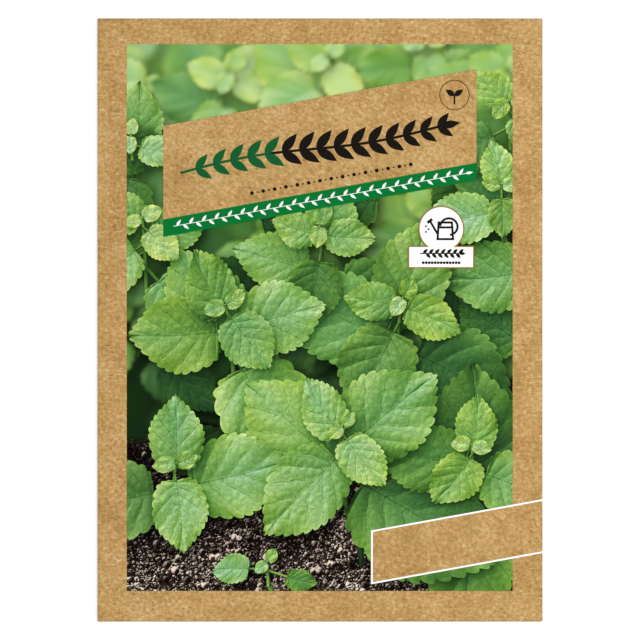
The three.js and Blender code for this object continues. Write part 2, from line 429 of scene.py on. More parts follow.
def start_group(name: str, inputs: dict[str, str], outputs: dict[str, str]) -> tuple[NodeKit, Node, Node]:
    """Starts a shader node group.

    Args:
        name: The group's name.
        inputs: Socket names and their types, such as Float.
        outputs: The same for what it puts out.
    """
    tree = bpy.data.node_groups.new(name, "ShaderNodeTree")
    for direction, sockets in (("INPUT", inputs), ("OUTPUT", outputs)):
        for socket, kind in sockets.items():
            tree.interface.new_socket(name=socket, in_out=direction, socket_type="NodeSocket" + kind)
    kit = NodeKit(tree)
    return kit, kit.add("NodeGroupInput"), kit.add("NodeGroupOutput")


def fibre_group() -> NodeTree:
    """Pulp and short fibres of kraft paper, as a tone about a half.

    Mottle is noise one millimetre across over clouds of two sizes and fine grit. Flecks are three noises
    stretched along three directions, of which only the crests show, pale, and the troughs, dark.

    Returns:
        The group's tree.
    """
    kit, start, end = start_group(
        "kraft_fibres", {"Place": "Vector", "Contrast": "Float"}, {"Tone": "Float", "Height": "Float"}
    )
    place = start.outputs["Place"]
    total = kit.math("MULTIPLY", kit.swing(place, 1.0, 4), 1.5)
    for scale, strength, detail in ((0.07, 0.6, 2), (0.2, 0.6, 2), (4.0, 0.7, 1)):
        total = kit.math("MULTIPLY_ADD", kit.swing(place, scale, detail), strength, total)
    for number, angle in enumerate((0.35, 1.4, 2.5)):
        flecks = kit.turned(place, angle, (0.75, 2.2, 2.2), (7.0 * number, 3.0, 0.0))
        crest = kit.noise(flecks, 1.0, 1).outputs[0]
        total = kit.math("MULTIPLY_ADD", kit.step(crest, 0.64, 0.76), 0.42, total)
        total = kit.math("MULTIPLY_ADD", kit.step(crest, 0.24, 0.36, 1, 0), -0.36, total)
    kit.feed(end.inputs["Tone"], kit.math("MULTIPLY_ADD", total, start.outputs["Contrast"], 0.5))
    kit.feed(end.inputs["Height"], total)
    return kit.tree


def ink_group() -> NodeTree:
    """The faint unevenness of printed ink: fine noise for its colour and broader noise for its gloss.

    Returns:
        The group's tree.
    """
    kit, start, end = start_group(
        "ink_grain", {"Place": "Vector", "Amount": "Float"}, {"Shade": "Float", "Gloss": "Float"}
    )
    place = start.outputs["Place"]
    shade = kit.math("MULTIPLY_ADD", kit.swing(place, 3.2), start.outputs["Amount"], 1)
    kit.feed(end.inputs["Shade"], shade)
    kit.feed(end.inputs["Gloss"], kit.swing(place, 0.5))
    return kit.tree


def vein_group() -> NodeTree:
    """The lines of a printed leaf, as a factor for its paint.

    Rib is the distance to the midrib, and Pitch the millimetres that one step of Phase takes. A side vein
    runs where Phase is a whole number and a half, so its distance is Pitch times how far the fraction of
    Phase is from a half. Fainter veins start half-way across, at the whole numbers. Between them a net
    of two sizes of cells is lit from the upper left: its edge distance a step away from the light, less
    that at the place. Across is 1 at the pale margin.

    Returns:
        The group's tree.
    """
    inputs = {"Place": "Vector", "Phase": "Float", "Across": "Float", "Pitch": "Float"}
    inputs |= {"Rib": "Float", "Detail": "Float"}
    kit, start, end = start_group("leaf_veins", inputs, {"Shade": "Float"})
    value = start.outputs
    warp = kit.scaled(kit.noise(value["Place"], 0.7).outputs["Color"], 1.6)
    place = kit.moved(value["Place"], warp)
    sway = kit.math("MULTIPLY", kit.swing(value["Place"], 0.4), 0.36)
    fraction = kit.math("FRACT", kit.math("ADD", value["Phase"], sway))
    off_vein = kit.math("MULTIPLY", kit.apart(fraction, 0.5), value["Pitch"])
    off_branch = kit.math("SUBTRACT", kit.math("MULTIPLY", value["Pitch"], 0.5), off_vein)
    inner, outer = kit.step(value["Across"], 0.75, 1, 1, 0.2), kit.step(value["Across"], 0.35, 0.6)
    vein = kit.math("MULTIPLY", kit.step(off_vein, 0.03, 0.22, 1, 0), inner)
    flank = kit.step(kit.apart(off_vein, 0.42), 0.0, 0.3, 1, 0)
    branch = kit.math("MULTIPLY", kit.step(off_branch, 0.0, 0.17, 1, 0), outer)
    rib = kit.step(value["Rib"], 0.05, 0.38, 1, 0)
    flank_of_rib = kit.step(kit.apart(value["Rib"], 0.48), 0.0, 0.26, 1, 0)
    factor: object = kit.math("MULTIPLY", vein, -0.4)
    for scale, relief, line in ((0.45, 1.35, -0.2), (1.1, 0.85, -0.12)):
        edge, further = (
            kit.cells(spot, scale, "DISTANCE_TO_EDGE").outputs["Distance"]
            for spot in (place, kit.away(place, scale))
        )
        factor = kit.math("MULTIPLY_ADD", kit.math("SUBTRACT", further, edge), relief, factor)
        factor = kit.math("MULTIPLY_ADD", kit.step(edge, 0.0, 0.1, 1, 0), line, factor)
    for mask, strength in ((flank, 0.1), (branch, -0.2), (rib, -0.34), (flank_of_rib, 0.13)):
        factor = kit.math("MULTIPLY_ADD", mask, strength, factor)
    factor = kit.math("MULTIPLY_ADD", kit.step(value["Across"], 0.93, 1), 0.2, factor)
    kit.feed(end.inputs["Shade"], kit.math("MULTIPLY_ADD", factor, value["Detail"], 1))
    return kit.tree


def soil_group() -> NodeTree:
    """Dark crumbly soil, lit from the upper left and brighter towards the picture's foot.

    Three sizes of crumbs lie on each other, the coarsest on top. A crumb is what lies within its own
    radius of a Voronoi point, and cells with a small radius have none. Its light is its own brightness
    times a step in how much nearer the point is from a place further from the light, and it darkens the
    finer crumbs round it. Noise warps the places, adds grit and clumps bright and dark crumbs.

    Returns:
        The group's tree.
    """
    kit, start, end = start_group("soil_crumbs", {"Place": "Vector"}, {"Color": "Color"})
    place = start.outputs["Place"]
    for scale, reach in ((0.5, 1.4), (2.6, 0.45)):
        warp = kit.scaled(kit.noise(start.outputs["Place"], scale).outputs["Color"], reach)
        place = kit.moved(place, warp)
    height = kit.split(start.outputs["Place"], "XYZ")[1]
    near = kit.step(height, -74.0, -36.0, 1, 0)
    clump = kit.step(kit.noise(place, 0.13, 3).outputs[0], 0.38, 0.62)
    grit = kit.math("MULTIPLY_ADD", kit.swing(place, 2.4, 3), 1.8, 1)
    total: object = 0.06
    hue: object = 0.5
    for scale, reach, least in ((1.9, 0.6, 0.1), (1.15, 0.85, -0.16), (0.55, 1.0, -0.32)):
        lump = kit.cells(place, scale)
        moved = kit.cells(kit.away(place, scale), scale)
        bright, size, tint = kit.split(lump.outputs["Color"])
        off = kit.math("SUBTRACT", lump.outputs["Distance"], kit.math("MULTIPLY_ADD", size, reach, least))
        body = kit.step(off, -0.08, 0.03, 1, 0)
        turned = kit.math("SUBTRACT", lump.outputs["Distance"], moved.outputs["Distance"])
        lit = kit.step(turned, -0.18, 0.16, 0.06, 1)
        light = kit.math("MULTIPLY", lit, kit.math("MULTIPLY_ADD", bright, 0.85, 0.15))
        under = kit.math("MULTIPLY", total, kit.step(off, 0.0, 0.26, 0.05, 1))
        total = kit.math("MULTIPLY_ADD", kit.math("SUBTRACT", light, under), body, under)
        hue = kit.math("MULTIPLY_ADD", kit.math("SUBTRACT", tint, hue), body, hue)
    strength = kit.math("MULTIPLY_ADD", clump, 1.05, kit.math("MULTIPLY_ADD", near, 1.25, 0.3))
    total = kit.math("MULTIPLY", kit.math("MULTIPLY", total, grit), strength)
    shades = kit.mix(hue, (1.06, 0.95, 0.97, 1), (1.0, 1.02, 0.86, 1))
    kit.feed(end.inputs["Color"], kit.mix(1.0, kit.ramp(total, SOIL_SHADES), shades, "MULTIPLY"))
    return kit.tree


# ---- Finishes ----


@dataclass(frozen=True)
class Finish:
    """What every finish has: its name, and its shader's roughness and specular level."""

    name: str
    roughness: float = field(default=0.5, kw_only=True)
    specular: float = field(default=0.025, kw_only=True)

    def start(self) -> tuple[Material, NodeKit, Node, Socket]:
        """Starts the finish's material.
        """
        material = bpy.data.materials.new(self.name)
        material.use_nodes = True
        kit = NodeKit(material.node_tree)
        shader = material.node_tree.nodes["Principled BSDF"]
        shader.inputs["Roughness"].default_value = self.roughness
        shader.inputs["Specular IOR Level"].default_value = self.specular
        coordinates = kit.add("ShaderNodeTexCoord")
        return material, kit, shader, kit.scaled(coordinates.outputs["Object"], 1 / MM)


@dataclass(frozen=True)
class KraftFinish(Finish):
    """Kraft paper, bare or printed to look like it, with painted shade along the packet's folded edges."""

    dark: Colour = (144, 105, 54)
    middle: Colour = (189, 150, 92)
    pale: Colour = (225, 194, 142)
    contrast: float = 0.7
    roughness: float = 0.82
    specular: float = 0.08
    bump: float = 0.12
    turn: float = 0.0
    # painted shade along the folded edges: a colour that multiplies the paper, and how far in from the edge
    # it fades out, in millimetres
    edge_shade: Colour = (0.76, 0.86, 0.97)
    edge_shade_width: float = 0.6
    edges: tuple[float, float] = (59.0, 80.0)

    def material(self, fibres: NodeTree) -> Material:
        """The fibres' tone between dark and pale, in slow patches of hue, with the fibres as a bump too.

        The painted edge shade is a soft step in how far the place lies inside the packet's nearest edge.

        Args:
            fibres: The group of the kraft's fibres.

        Returns:
            The material.
        """
        material, kit, shader, place = self.start()
        inward = [
            kit.math("SUBTRACT", edge, kit.math("ABSOLUTE", part))
            for edge, part in zip(self.edges, kit.split(place, "XYZ"))
        ]
        # 0 at the packet's edges, rising to 1 past the band of painted shade
        flat = kit.step(kit.math("MINIMUM", *inward), 0.0, self.edge_shade_width)
        place = kit.turned(place, self.turn, (1, 1, 1), (31 * self.turn, 0, 0))
        pulp = kit.group(fibres, Place=place, Contrast=self.contrast)
        stops = [(0, self.dark), (0.5, self.middle), (1, self.pale)]
        paper = kit.ramp(pulp.outputs["Tone"], stops)
        patches = kit.step(kit.noise(place, 0.3).outputs[0], 0.35, 0.65)
        hue = kit.mix(patches, (1.015, 0.985, 0.97, 1), (0.985, 1.01, 1.01, 1))
        paper = kit.mix(1.0, paper, hue, "MULTIPLY")
        # the paper darkened by the painted shade along the folded edges
        edge_shaded = kit.mix(1.0, paper, (*self.edge_shade, 1), "MULTIPLY")
        kit.feed(shader.inputs["Base Color"], kit.mix(flat, edge_shaded, paper))
        kit.bump(shader, pulp.outputs["Height"], self.bump)
        return material


@dataclass(frozen=True)
class InkFinish(Finish):
    """One flat printed colour."""

    colour: Colour
    grain: float = 0.08

    def material(self, grain: NodeTree) -> Material:
        """The colour times the ink's grain, with its gloss a little uneven.

        Args:
            grain: The group of the ink's grain.

        Returns:
            The material.
        """
        material, kit, shader, place = self.start()
        ink = kit.group(grain, Place=place, Amount=self.grain)
        shade = kit.scaled(tuple(to_linear(self.colour)), ink.outputs["Shade"])
        kit.feed(shader.inputs["Base Color"], shade)
        gloss = kit.math("MULTIPLY_ADD", ink.outputs["Gloss"], 0.15, self.roughness)
        kit.feed(shader.inputs["Roughness"], gloss)
        return material


@dataclass(frozen=True)
class PlantFinish(Finish):
    """The picture's leaves and stems: their own paint, crossed by veins."""

    name: str = "printed_leaves"
    grain: float = 0.14

    def material(self, veins: NodeTree, grain: NodeTree) -> Material:
        """The attribute paint times the veins' shade, which the attribute lines places.

        Args:
            veins: The group of the leaves' veins.
            grain: The group of the ink's grain.

        Returns:
            The material.
        """
        material, kit, shader, place = self.start()
        paint, lines = kit.attribute("paint"), kit.attribute("lines")
        phase, across, pitch = kit.split(lines.outputs["Color"])
        rib = lines.outputs["Alpha"]
        detail = paint.outputs["Alpha"]
        vein = kit.group(veins, Place=place, Phase=phase, Across=across, Pitch=pitch, Rib=rib, Detail=detail)
        ink = kit.group(grain, Place=place, Amount=self.grain)
        shade = kit.math("MULTIPLY", vein.outputs["Shade"], ink.outputs["Shade"])
        kit.feed(shader.inputs["Base Color"], kit.scaled(paint.outputs["Color"], shade))
        return material


@dataclass(frozen=True)
class BackdropFinish(Finish):
    """The picture behind its plants: blurred leaves, and soil below."""

    name: str = "printed_backdrop"
    grain: float = 0.1

    def material(self, soil: NodeTree, grain: NodeTree) -> Material:
        """The attribute paint, which gives way to soil where the attribute ground says so.

        Args:
            soil: The group of the crumbly soil.
            grain: The group of the ink's grain.

        Returns:
            The material.
        """
        material, kit, shader, place = self.start()
        paint, ground = kit.attribute("paint"), kit.attribute("ground")
        bare, light, _ = kit.split(ground.outputs["Color"])
        earth = kit.scaled(kit.group(soil, Place=place).outputs["Color"], light)
        colour = kit.mix(bare, paint.outputs["Color"], earth)
        ink = kit.group(grain, Place=place, Amount=self.grain)
        kit.feed(shader.inputs["Base Color"], kit.scaled(colour, ink.outputs["Shade"]))
        return material


@dataclass(frozen=True)
class MottledFinish(Finish):
    """A plain material with a mottle of its own size, for what lies inside the packet."""

    dark: Colour
    pale: Colour
    scale: float
    bump: float = 0.1

    def material(self) -> Material:
        """Noise between two colours, which also lifts the surface a little.

        Returns:
            The material.
        """
        material, kit, shader, place = self.start()
        mottle = kit.noise(place, self.scale, 3).outputs[0]
        kit.feed(shader.inputs["Base Color"], kit.ramp(mottle, [(0.3, self.dark), (0.7, self.pale)]))
        kit.bump(shader, mottle, self.bump)
        return material


class Ink(Enum):
    """The flat inks of the panels and marks: each one's slot name, and its finish."""

    KRAFT = (Slot.PRINTED_KRAFT, KraftFinish("printed_kraft", roughness=0.6, turn=0.5))
    GREEN = (Slot.GREEN, InkFinish("printed_green", (8, 116, 50)))
    DEEP_GREEN = (Slot.GREEN, InkFinish("printed_deep_green", (22, 92, 48)))
    WHITE = (Slot.WHITE, InkFinish("printed_white", (254, 254, 252), grain=0.01))
    RUST = (Slot.RUST, InkFinish("printed_rust", (156, 116, 54)))
    BLACK = (Slot.BLACK, InkFinish("printed_black", (26, 22, 18)))
    BROWN = (Slot.RUST, InkFinish("printed_brown", (100, 76, 34)))


class FinishSet:
    """Every material of the packet, made once."""

    def __init__(self) -> None:
        """Makes the node groups and then the materials that use them."""
        fibres, grain = fibre_group(), ink_group()
        self.kraft = KraftFinish("kraft_paper").material(fibres)
        self.leaves = PlantFinish().material(vein_group(), grain)
        self.backdrop = BackdropFinish().material(soil_group(), grain)
        self.inks = {ink: ink.value[1].material(fibres if ink is Ink.KRAFT else grain) for ink in Ink}
        glue = MottledFinish("dried_glue", (205, 192, 150), (232, 222, 188), 0.8, roughness=0.4, specular=0.5)
        pale = (236, 237, 234)
        foil = MottledFinish("sachet_paper", (214, 216, 212), pale, 0.6, roughness=0.35, specular=0.5)
        seed = MottledFinish("seed_coat", (44, 28, 18), (96, 66, 42), 2.2, 0.4, roughness=0.6, specular=0.4)
        self.glue, self.sachet, self.seed = glue.material(), foil.material(), seed.material()


# ---- Folded paper ----


@dataclass(frozen=True)
class FoldedPaper:
    """The envelope's sheet of paper: its sizes, and the heights of the middle of each of its layers."""

    width: float
    height: float
    paper: float = 0.18
    glue_gap: float = 0.1
    rim_slack: float = 0.12
    front_bulge: float = 1.4
    rim: float = 3.0
    bulge_power_x: float = 2.4
    bulge_power_y: float = 2.8
    seam_wing: float = 12.0
    top_flap: float = 22.0
    bottom_flap: float = 16.0
    flap_taper: float = 9.0
    flap_inset: float = 0.2
    back_inset: float = 1.2
    back_flat_x: float = 35.0
    back_step: float = 10.0
    end_clearance: float = 0.1
    corner_reach: float = 0.5
    sachet_half_width: float = 33.0
    sachet_half_height: float = 46.0
    sachet_y: float = -4.0
    sachet_step: float = 0.05
    sachet_softness: float = 3.0
    heap_y: float = -18.0
    heap_rise: float = 0.12
    heap_radius: float = 15.0
    cockle: float = 0.03

    @classmethod
    def of_node(cls, node: str) -> "FoldedPaper":
        """The paper whose width and height are those of a CAD node."""
        low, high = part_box(node)
        return cls(width=(high.x - low.x) / MM, height=(high.y - low.y) / MM)

    @property
    def layer(self) -> float:
        """From the middle of one glued layer to the middle of the next."""
        return self.paper + self.glue_gap

    @property
    def flap_mid(self) -> float:
        """The flaps' height."""
        return self.paper / 2

    @property
    def back_mid(self) -> float:
        """The back's height at its rim."""
        return self.flap_mid + self.layer

    @property
    def wing_mid(self) -> float:
        """The seam wing's height."""
        return self.back_mid + self.layer

    @property
    def front_mid(self) -> float:
        """The front's height at its rim."""
        return self.wing_mid + self.paper + self.rim_slack

    def fold_radius(self, low: float) -> float:
        """Radius of the fold between a lower layer and the front."""
        return (self.front_mid - low) / 2

    @property
    def left_fold(self) -> float:
        """Where the left fold starts, in x."""
        return -self.width / 2 + self.fold_radius(self.wing_mid) + self.paper / 2

    @property
    def right_fold(self) -> float:
        """Where the right fold starts, in x."""
        return self.width / 2 - self.fold_radius(self.back_mid) - self.paper / 2

    @property
    def end_fold(self) -> float:
        """Where the end folds start, in y from the middle."""
        return self.height / 2 - self.fold_radius(self.flap_mid) - self.paper / 2

    def fullness(self, place: Array, half: float, power: float) -> Array:
        """From 0 at the rim to 1: one less |place| by its half width to a power."""
        return 1 - np.minimum(1, np.abs(place) / (half - self.rim)) ** power

    def pillow(self, x: Array, y: Array) -> Array:
        """How full the front is: its fullness in x times that in y."""
        in_x = self.fullness(x, self.width / 2, self.bulge_power_x)
        return in_x * self.fullness(y, self.height / 2, self.bulge_power_y)

    def print_through(self, x: Array, y: Array) -> Array:
        """What the contents do to the front: a soft-edged plate over the sachet, a low dome over the
        seeds and a slow cockle, all fading out with the pillow.

        Args:
            x: Places across the front.
            y: Places up the front.

        Returns:
            The height that they add.
        """
        soft = self.sachet_softness
        plate = ramp(self.sachet_half_width - np.abs(x), -soft, soft)
        plate = plate * ramp(self.sachet_half_height - np.abs(y - self.sachet_y), -soft, soft)
        dome = np.exp(-(x**2 + (y - self.heap_y) ** 2) / self.heap_radius**2)
        cockle = np.sin(x / 17 + 0.8) * np.sin(y / 23 - 0.4) + 0.5 * np.sin(x / 9 - y / 13)
        return (self.sachet_step * plate + self.heap_rise * dome + self.cockle * cockle) * self.pillow(x, y)

    def front_height(self, x: Array, y: Array) -> Array:
        """Height of the middle of the front."""
        return self.front_mid + self.front_bulge * self.pillow(x, y) + self.print_through(x, y)

    def back_drop(self, x: Array, y: Array) -> Array:
        """How far the back hangs below its rim: one layer, where neither the rim nor a flap holds it up.

        Args:
            x: Places across the front.
            y: Places up the front.

        Returns:
            The drop there.
        """
        in_x = 1 - ramp(np.abs(x), self.back_flat_x, self.back_flat_x + self.back_step)
        low_end = -self.end_fold + self.bottom_flap
        high_end = self.end_fold - self.top_flap
        in_y = ramp(y, low_end, low_end + self.back_step) * (1 - ramp(y, high_end - self.back_step, high_end))
        return self.layer * in_x * in_y

    def printed_point(self, x: Array, y: Array, lift: float) -> Array:
        """Points of a layer of ink on the front.

        The layer follows the front's outer face, and over a side or end fold it drops by the fold's
        outer radius less the root of that radius squared less the distance past the fold's start, squared.

        Args:
            x: Places across the front.
            y: Places up the front.
            lift: How far the layer stands above the paper.

        Returns:
            x, y and z in the last place.
        """
        height = self.front_height(x, y) + self.paper / 2
        folds = (
            (x - self.right_fold, self.back_mid),
            (self.left_fold - x, self.wing_mid),
            (np.abs(y) - self.end_fold, self.flap_mid),
        )
        for past, low in folds:
            outer = self.fold_radius(low) + self.paper / 2
            height = height - outer + np.sqrt(outer**2 - np.clip(past, 0, outer) ** 2)
        return np.stack(np.broadcast_arrays(x, y, height + lift), axis=-1)


@dataclass
class Envelope:
    """The envelope, folded from one sheet: wing, front and back wrapped to a flat tube, and two flaps."""

    paper: FoldedPaper
    rows: int = 141
    wing_columns: int = 6
    fold_columns: int = 7
    front_columns: int = 97
    back_columns: int = 61
    end_fold_rows: int = 9
    flap_rows: int = 11

    def fold(self, turn: Array, low: float, high: float) -> tuple[Array, Array]:
        """A half turn from a low layer (turn 0) to a high one (turn 1), as reach and height."""
        angle, radius = np.pi * (turn - 0.5), (high - low) / 2
        return radius * np.cos(angle), (low + high) / 2 + radius * np.sin(angle)

    def wrapped(self) -> tuple[Array, slice]:
        """The tube's points by row and column, and which columns are the front's.

        Each row runs along the wing, round the left fold, over the front, round the right fold and back
        along the underside. A column's end in y grows from the wing's to the fold's and the front's.

        Returns:
            The points, and the slice of the front's columns.
        """
        p = self.paper
        turn = np.linspace(0, 1, self.fold_columns)[1:-1]
        left_reach, left_height = self.fold(turn, p.wing_mid, p.front_mid)
        right_reach, right_height = self.fold(turn[::-1], p.back_mid, p.front_mid)
        wing = np.linspace(p.left_fold + p.seam_wing, p.left_fold, self.wing_columns)
        front = np.linspace(p.left_fold, p.right_fold, self.front_columns)
        back = np.linspace(p.right_fold, -p.width / 2 + p.back_inset, self.back_columns)
        parts = [wing, p.left_fold - left_reach, front, p.right_fold + right_reach, back]
        heights = [np.full(wing.size, p.wing_mid), left_height, front * 0, right_height, back * 0]
        inner_end = p.end_fold - p.end_clearance
        bow = p.corner_reach * np.sin(np.pi * turn)
        ends = [np.full(wing.size, inner_end), p.end_fold + bow, np.full(front.size, p.end_fold)]
        ends += [p.end_fold + bow, np.full(back.size, inner_end)]
        x = np.concatenate(parts)[None, :]
        y = np.linspace(-1, 1, self.rows)[:, None] * np.concatenate(ends)
        x = np.broadcast_to(x, y.shape)
        z = np.broadcast_to(np.concatenate(heights), y.shape).copy()
        first = wing.size + turn.size
        front_part = slice(first, first + front.size)
        back_part = slice(x.shape[1] - back.size, None)
        z[:, front_part] = p.front_height(x[:, front_part], y[:, front_part])
        z[:, back_part] = p.back_mid - p.back_drop(x[:, back_part], y[:, back_part])
        return np.stack([x, y, z], axis=-1), front_part

    def flap(self, end: int, length: float, root: Array) -> Array:
        """One flap's points past its root, by row from the front's end to the flap's free edge.

        Its width runs from just inside the packet's edges at the fold to flap_taper less on each side.

        Args:
            end: 1 for the top and -1 for the bottom.
            length: The flap's length from the fold's start.
            root: x of the front's columns.

        Returns:
            x, y and z in the last place.
        """
        p = self.paper
        turn = np.linspace(1, 0, self.end_fold_rows)[1:]
        reach, height = self.fold(turn, p.flap_mid, p.front_mid)
        flat = np.linspace(0, 1, self.flap_rows)[1:]
        y = np.concatenate([p.end_fold + reach, p.end_fold - length * flat])
        z = np.concatenate([height, np.full(flat.size, p.flap_mid)])
        half = p.width / 2 - p.flap_inset - p.flap_taper * np.concatenate([turn * 0, flat])
        x = half[:, None] * (root / np.abs(root).max())[None, :]
        return np.stack(np.broadcast_arrays(x, end * y[:, None], z[:, None]), axis=-1)

    def build(self, material: Material) -> None:
        """The sheet's middle surface as one mesh, made as thick as the paper by Solidify.

        Args:
            material: The kraft paper.
        """
        maker = MeshMaker()
        points, front = self.wrapped()
        numbers = maker.add_points(points)
        maker.add_quads(numbers)
        root = points[0, front, 0]
        top = maker.add_points(self.flap(1, self.paper.top_flap, root))
        bottom = maker.add_points(self.flap(-1, self.paper.bottom_flap, root))
        maker.add_quads(np.concatenate([numbers[-1:, front], top]))
        maker.add_quads(np.concatenate([bottom[::-1], numbers[:1, front]]))
        piece = maker.make("packet_paper", material)
        solidify = piece.modifiers.new("paper_thickness", "SOLIDIFY")
        solidify.thickness = self.paper.paper * MM
        solidify.offset = 0
        solidify.use_even_offset = True
        dress(piece)
        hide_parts("packet_envelope")


# ---- The printed picture ----


@dataclass(frozen=True)
class PictureField:
    """The printed picture's rectangle on the front, in millimetres."""

    left: float = -51.2
    right: float = 51.05
    bottom: float = -71.8
    top: float = 73.1

    def clipped(self, x: Array, y: Array) -> Grid:
        """Places moved to the nearest point of the rectangle."""
        return np.clip(x, self.left, self.right), np.clip(y, self.bottom, self.top)


def unit_normals(x: Array, y: Array, z: Array) -> Array:
    """Unit normals of a grid: the cross product of its tangents along rows and along columns."""
    normal = np.cross(*(np.gradient(np.stack([x, y, z], axis=-1), axis=axis) for axis in (1, 0)))
    return normal / (np.linalg.norm(normal, axis=-1, keepdims=True) + 1e-12)


class Canvas:
    """A raster over the picture and a margin round it, for masks, shadows and soft paint."""

    def __init__(self, area: PictureField, pitch: float = 0.4, margin: float = 12.0) -> None:
        """Lays out the raster's cells.

        Args:
            area: The rectangle to cover.
            pitch: Size of a cell.
            margin: How far the raster goes past the rectangle.
        """
        self.pitch = pitch
        self.left, self.low = area.left - margin, area.bottom - margin
        self.columns = int((area.right - area.left + 2 * margin) / pitch)
        self.rows = int((area.top - area.bottom + 2 * margin) / pitch)
        self.x = self.left + (np.arange(self.columns) + 0.5) * pitch
        self.y = self.low + (np.arange(self.rows) + 0.5) * pitch
        self.waves_x = np.fft.rfftfreq(self.columns, pitch)[None, :]
        self.waves_y = np.fft.fftfreq(self.rows, pitch)[:, None]

    def blank(self) -> Array:
        """An empty raster."""
        return np.zeros((self.rows, self.columns))

    def inside(self, outline: Array) -> tuple[slice, slice, Array]:
        """Which cells lie in a closed outline, by counting the edges to the right of each cell's middle.

        Args:
            outline: Its corners, as x and y.

        Returns:
            The rows and columns round the outline, and the mask there.
        """
        low, high = outline.min(axis=0), outline.max(axis=0)
        first = np.floor((low - (self.left, self.low)) / self.pitch).astype(int) - 1
        last = np.ceil((high - (self.left, self.low)) / self.pitch).astype(int) + 1
        first = np.clip(first, 0, (self.columns, self.rows))
        last = np.clip(last, 0, (self.columns, self.rows))
        rows, columns = slice(first[1], last[1]), slice(first[0], last[0])
        x = self.x[columns][None, :, None]
        y = self.y[rows][:, None, None]
        x0, y0 = outline[:, 0], outline[:, 1]
        x1, y1 = np.roll(x0, -1), np.roll(y0, -1)
        rise = np.where(y1 == y0, 1e-9, y1 - y0)
        crosses = ((y0 > y) != (y1 > y)) & (x < x0 + (y - y0) * (x1 - x0) / rise)
        return rows, columns, np.sum(crosses, axis=-1) % 2 == 1

    def waves(self, raster: Array) -> Array:
        """A raster's spectrum."""
        return np.fft.rfft2(raster)

    def blurred(self, waves: Array, radius: float, shift: tuple[float, float] = (0, 0)) -> Array:
        """A raster blurred by a Gaussian and moved, both by its spectrum.

        Args:
            waves: The raster's spectrum.
            radius: The Gaussian's deviation in millimetres.
            shift: How far it moves, in millimetres.

        Returns:
            The blurred raster.
        """
        falloff = np.exp(-2 * (np.pi * radius) ** 2 * (self.waves_x**2 + self.waves_y**2))
        phase = np.exp(-2j * np.pi * (self.waves_x * shift[0] + self.waves_y * shift[1]))
        return np.fft.irfft2(waves * falloff * phase, s=(self.rows, self.columns))

    def softened(self, paint: Array, radius: float) -> Array:
        """Paint blurred channel by channel."""
        channels = [self.blurred(self.waves(paint[..., k]), radius) for k in range(3)]
        return np.clip(np.stack(channels, axis=-1), 0, 1)

    def sampled(self, raster: Array, x: Array, y: Array) -> Array:
        """The raster's value at places between its cells, blended from the four nearest cells.

        Args:
            raster: Values by cell, with or without channels.
            x: Places across the picture.
            y: Places up the picture.

        Returns:
            A value for each place.
        """
        column = np.clip((x - self.left) / self.pitch - 0.5, 0, self.columns - 1.001)
        row = np.clip((y - self.low) / self.pitch - 0.5, 0, self.rows - 1.001)
        c, r = column.astype(int), row.astype(int)
        u, v = column - c, row - r
        if raster.ndim == 3:
            u, v = u[..., None], v[..., None]
        low = raster[r, c] * (1 - u) + raster[r, c + 1] * u
        high = raster[r + 1, c] * (1 - u) + raster[r + 1, c + 1] * u
        return low * (1 - v) + high * v

    def lay(self, wash: Array, sheet: "PlantSheet") -> None:
        """Paints a sheet into a raster of paint.

        The paint of its points is added up cell by cell, both are spread over the neighbouring cells
        so that none between them stays empty, and their quotient fills the sheet's outline.

        Args:
            wash: The raster of paint, which is changed.
            sheet: The leaf, with its paint.
        """
        rows, columns, mask = self.inside(sheet.outline())
        if not mask.any():
            return
        total = np.zeros((*mask.shape, 4))
        column = ((sheet.x - self.left) / self.pitch).astype(int) - columns.start
        row = ((sheet.y - self.low) / self.pitch).astype(int) - rows.start
        cell = (np.clip(row, 0, mask.shape[0] - 1), np.clip(column, 0, mask.shape[1] - 1))
        paint = np.concatenate([sheet.paint[..., :3], np.ones((*sheet.x.shape, 1))], axis=-1)
        np.add.at(total, cell, paint)
        for axis in (0, 1, 0, 1):
            total = total + 0.6 * (np.roll(total, 1, axis) + np.roll(total, -1, axis))
        amount = total[..., 3:]
        middle = sheet.paint[..., :3].mean(axis=(0, 1))
        colour = np.where(amount > 0.05, total[..., :3] / np.maximum(amount, 0.05), middle)
        wash[rows, columns][mask] = colour[mask]


@dataclass(frozen=True)
class CastShadow:
    """A soft shadow in the picture: the raster of what casts it, blurred and moved."""

    radius: float
    shift: tuple[float, float]
    depth: float

    def light(self, canvas: Canvas, waves: Array, places: Grid | None = None) -> Array:
        """How much light the shadow leaves: one less its depth times the blurred raster.

        Args:
            canvas: The picture's raster.
            waves: The spectrum of what casts the shadow.
            places: Where the light is wanted, if not in every cell.

        Returns:
            The share of the light that is left.
        """
        cover = canvas.blurred(waves, self.radius, self.shift)
        if places is not None:
            cover = canvas.sampled(cover, *places)
        return 1 - self.depth * np.clip(cover, 0, 1)


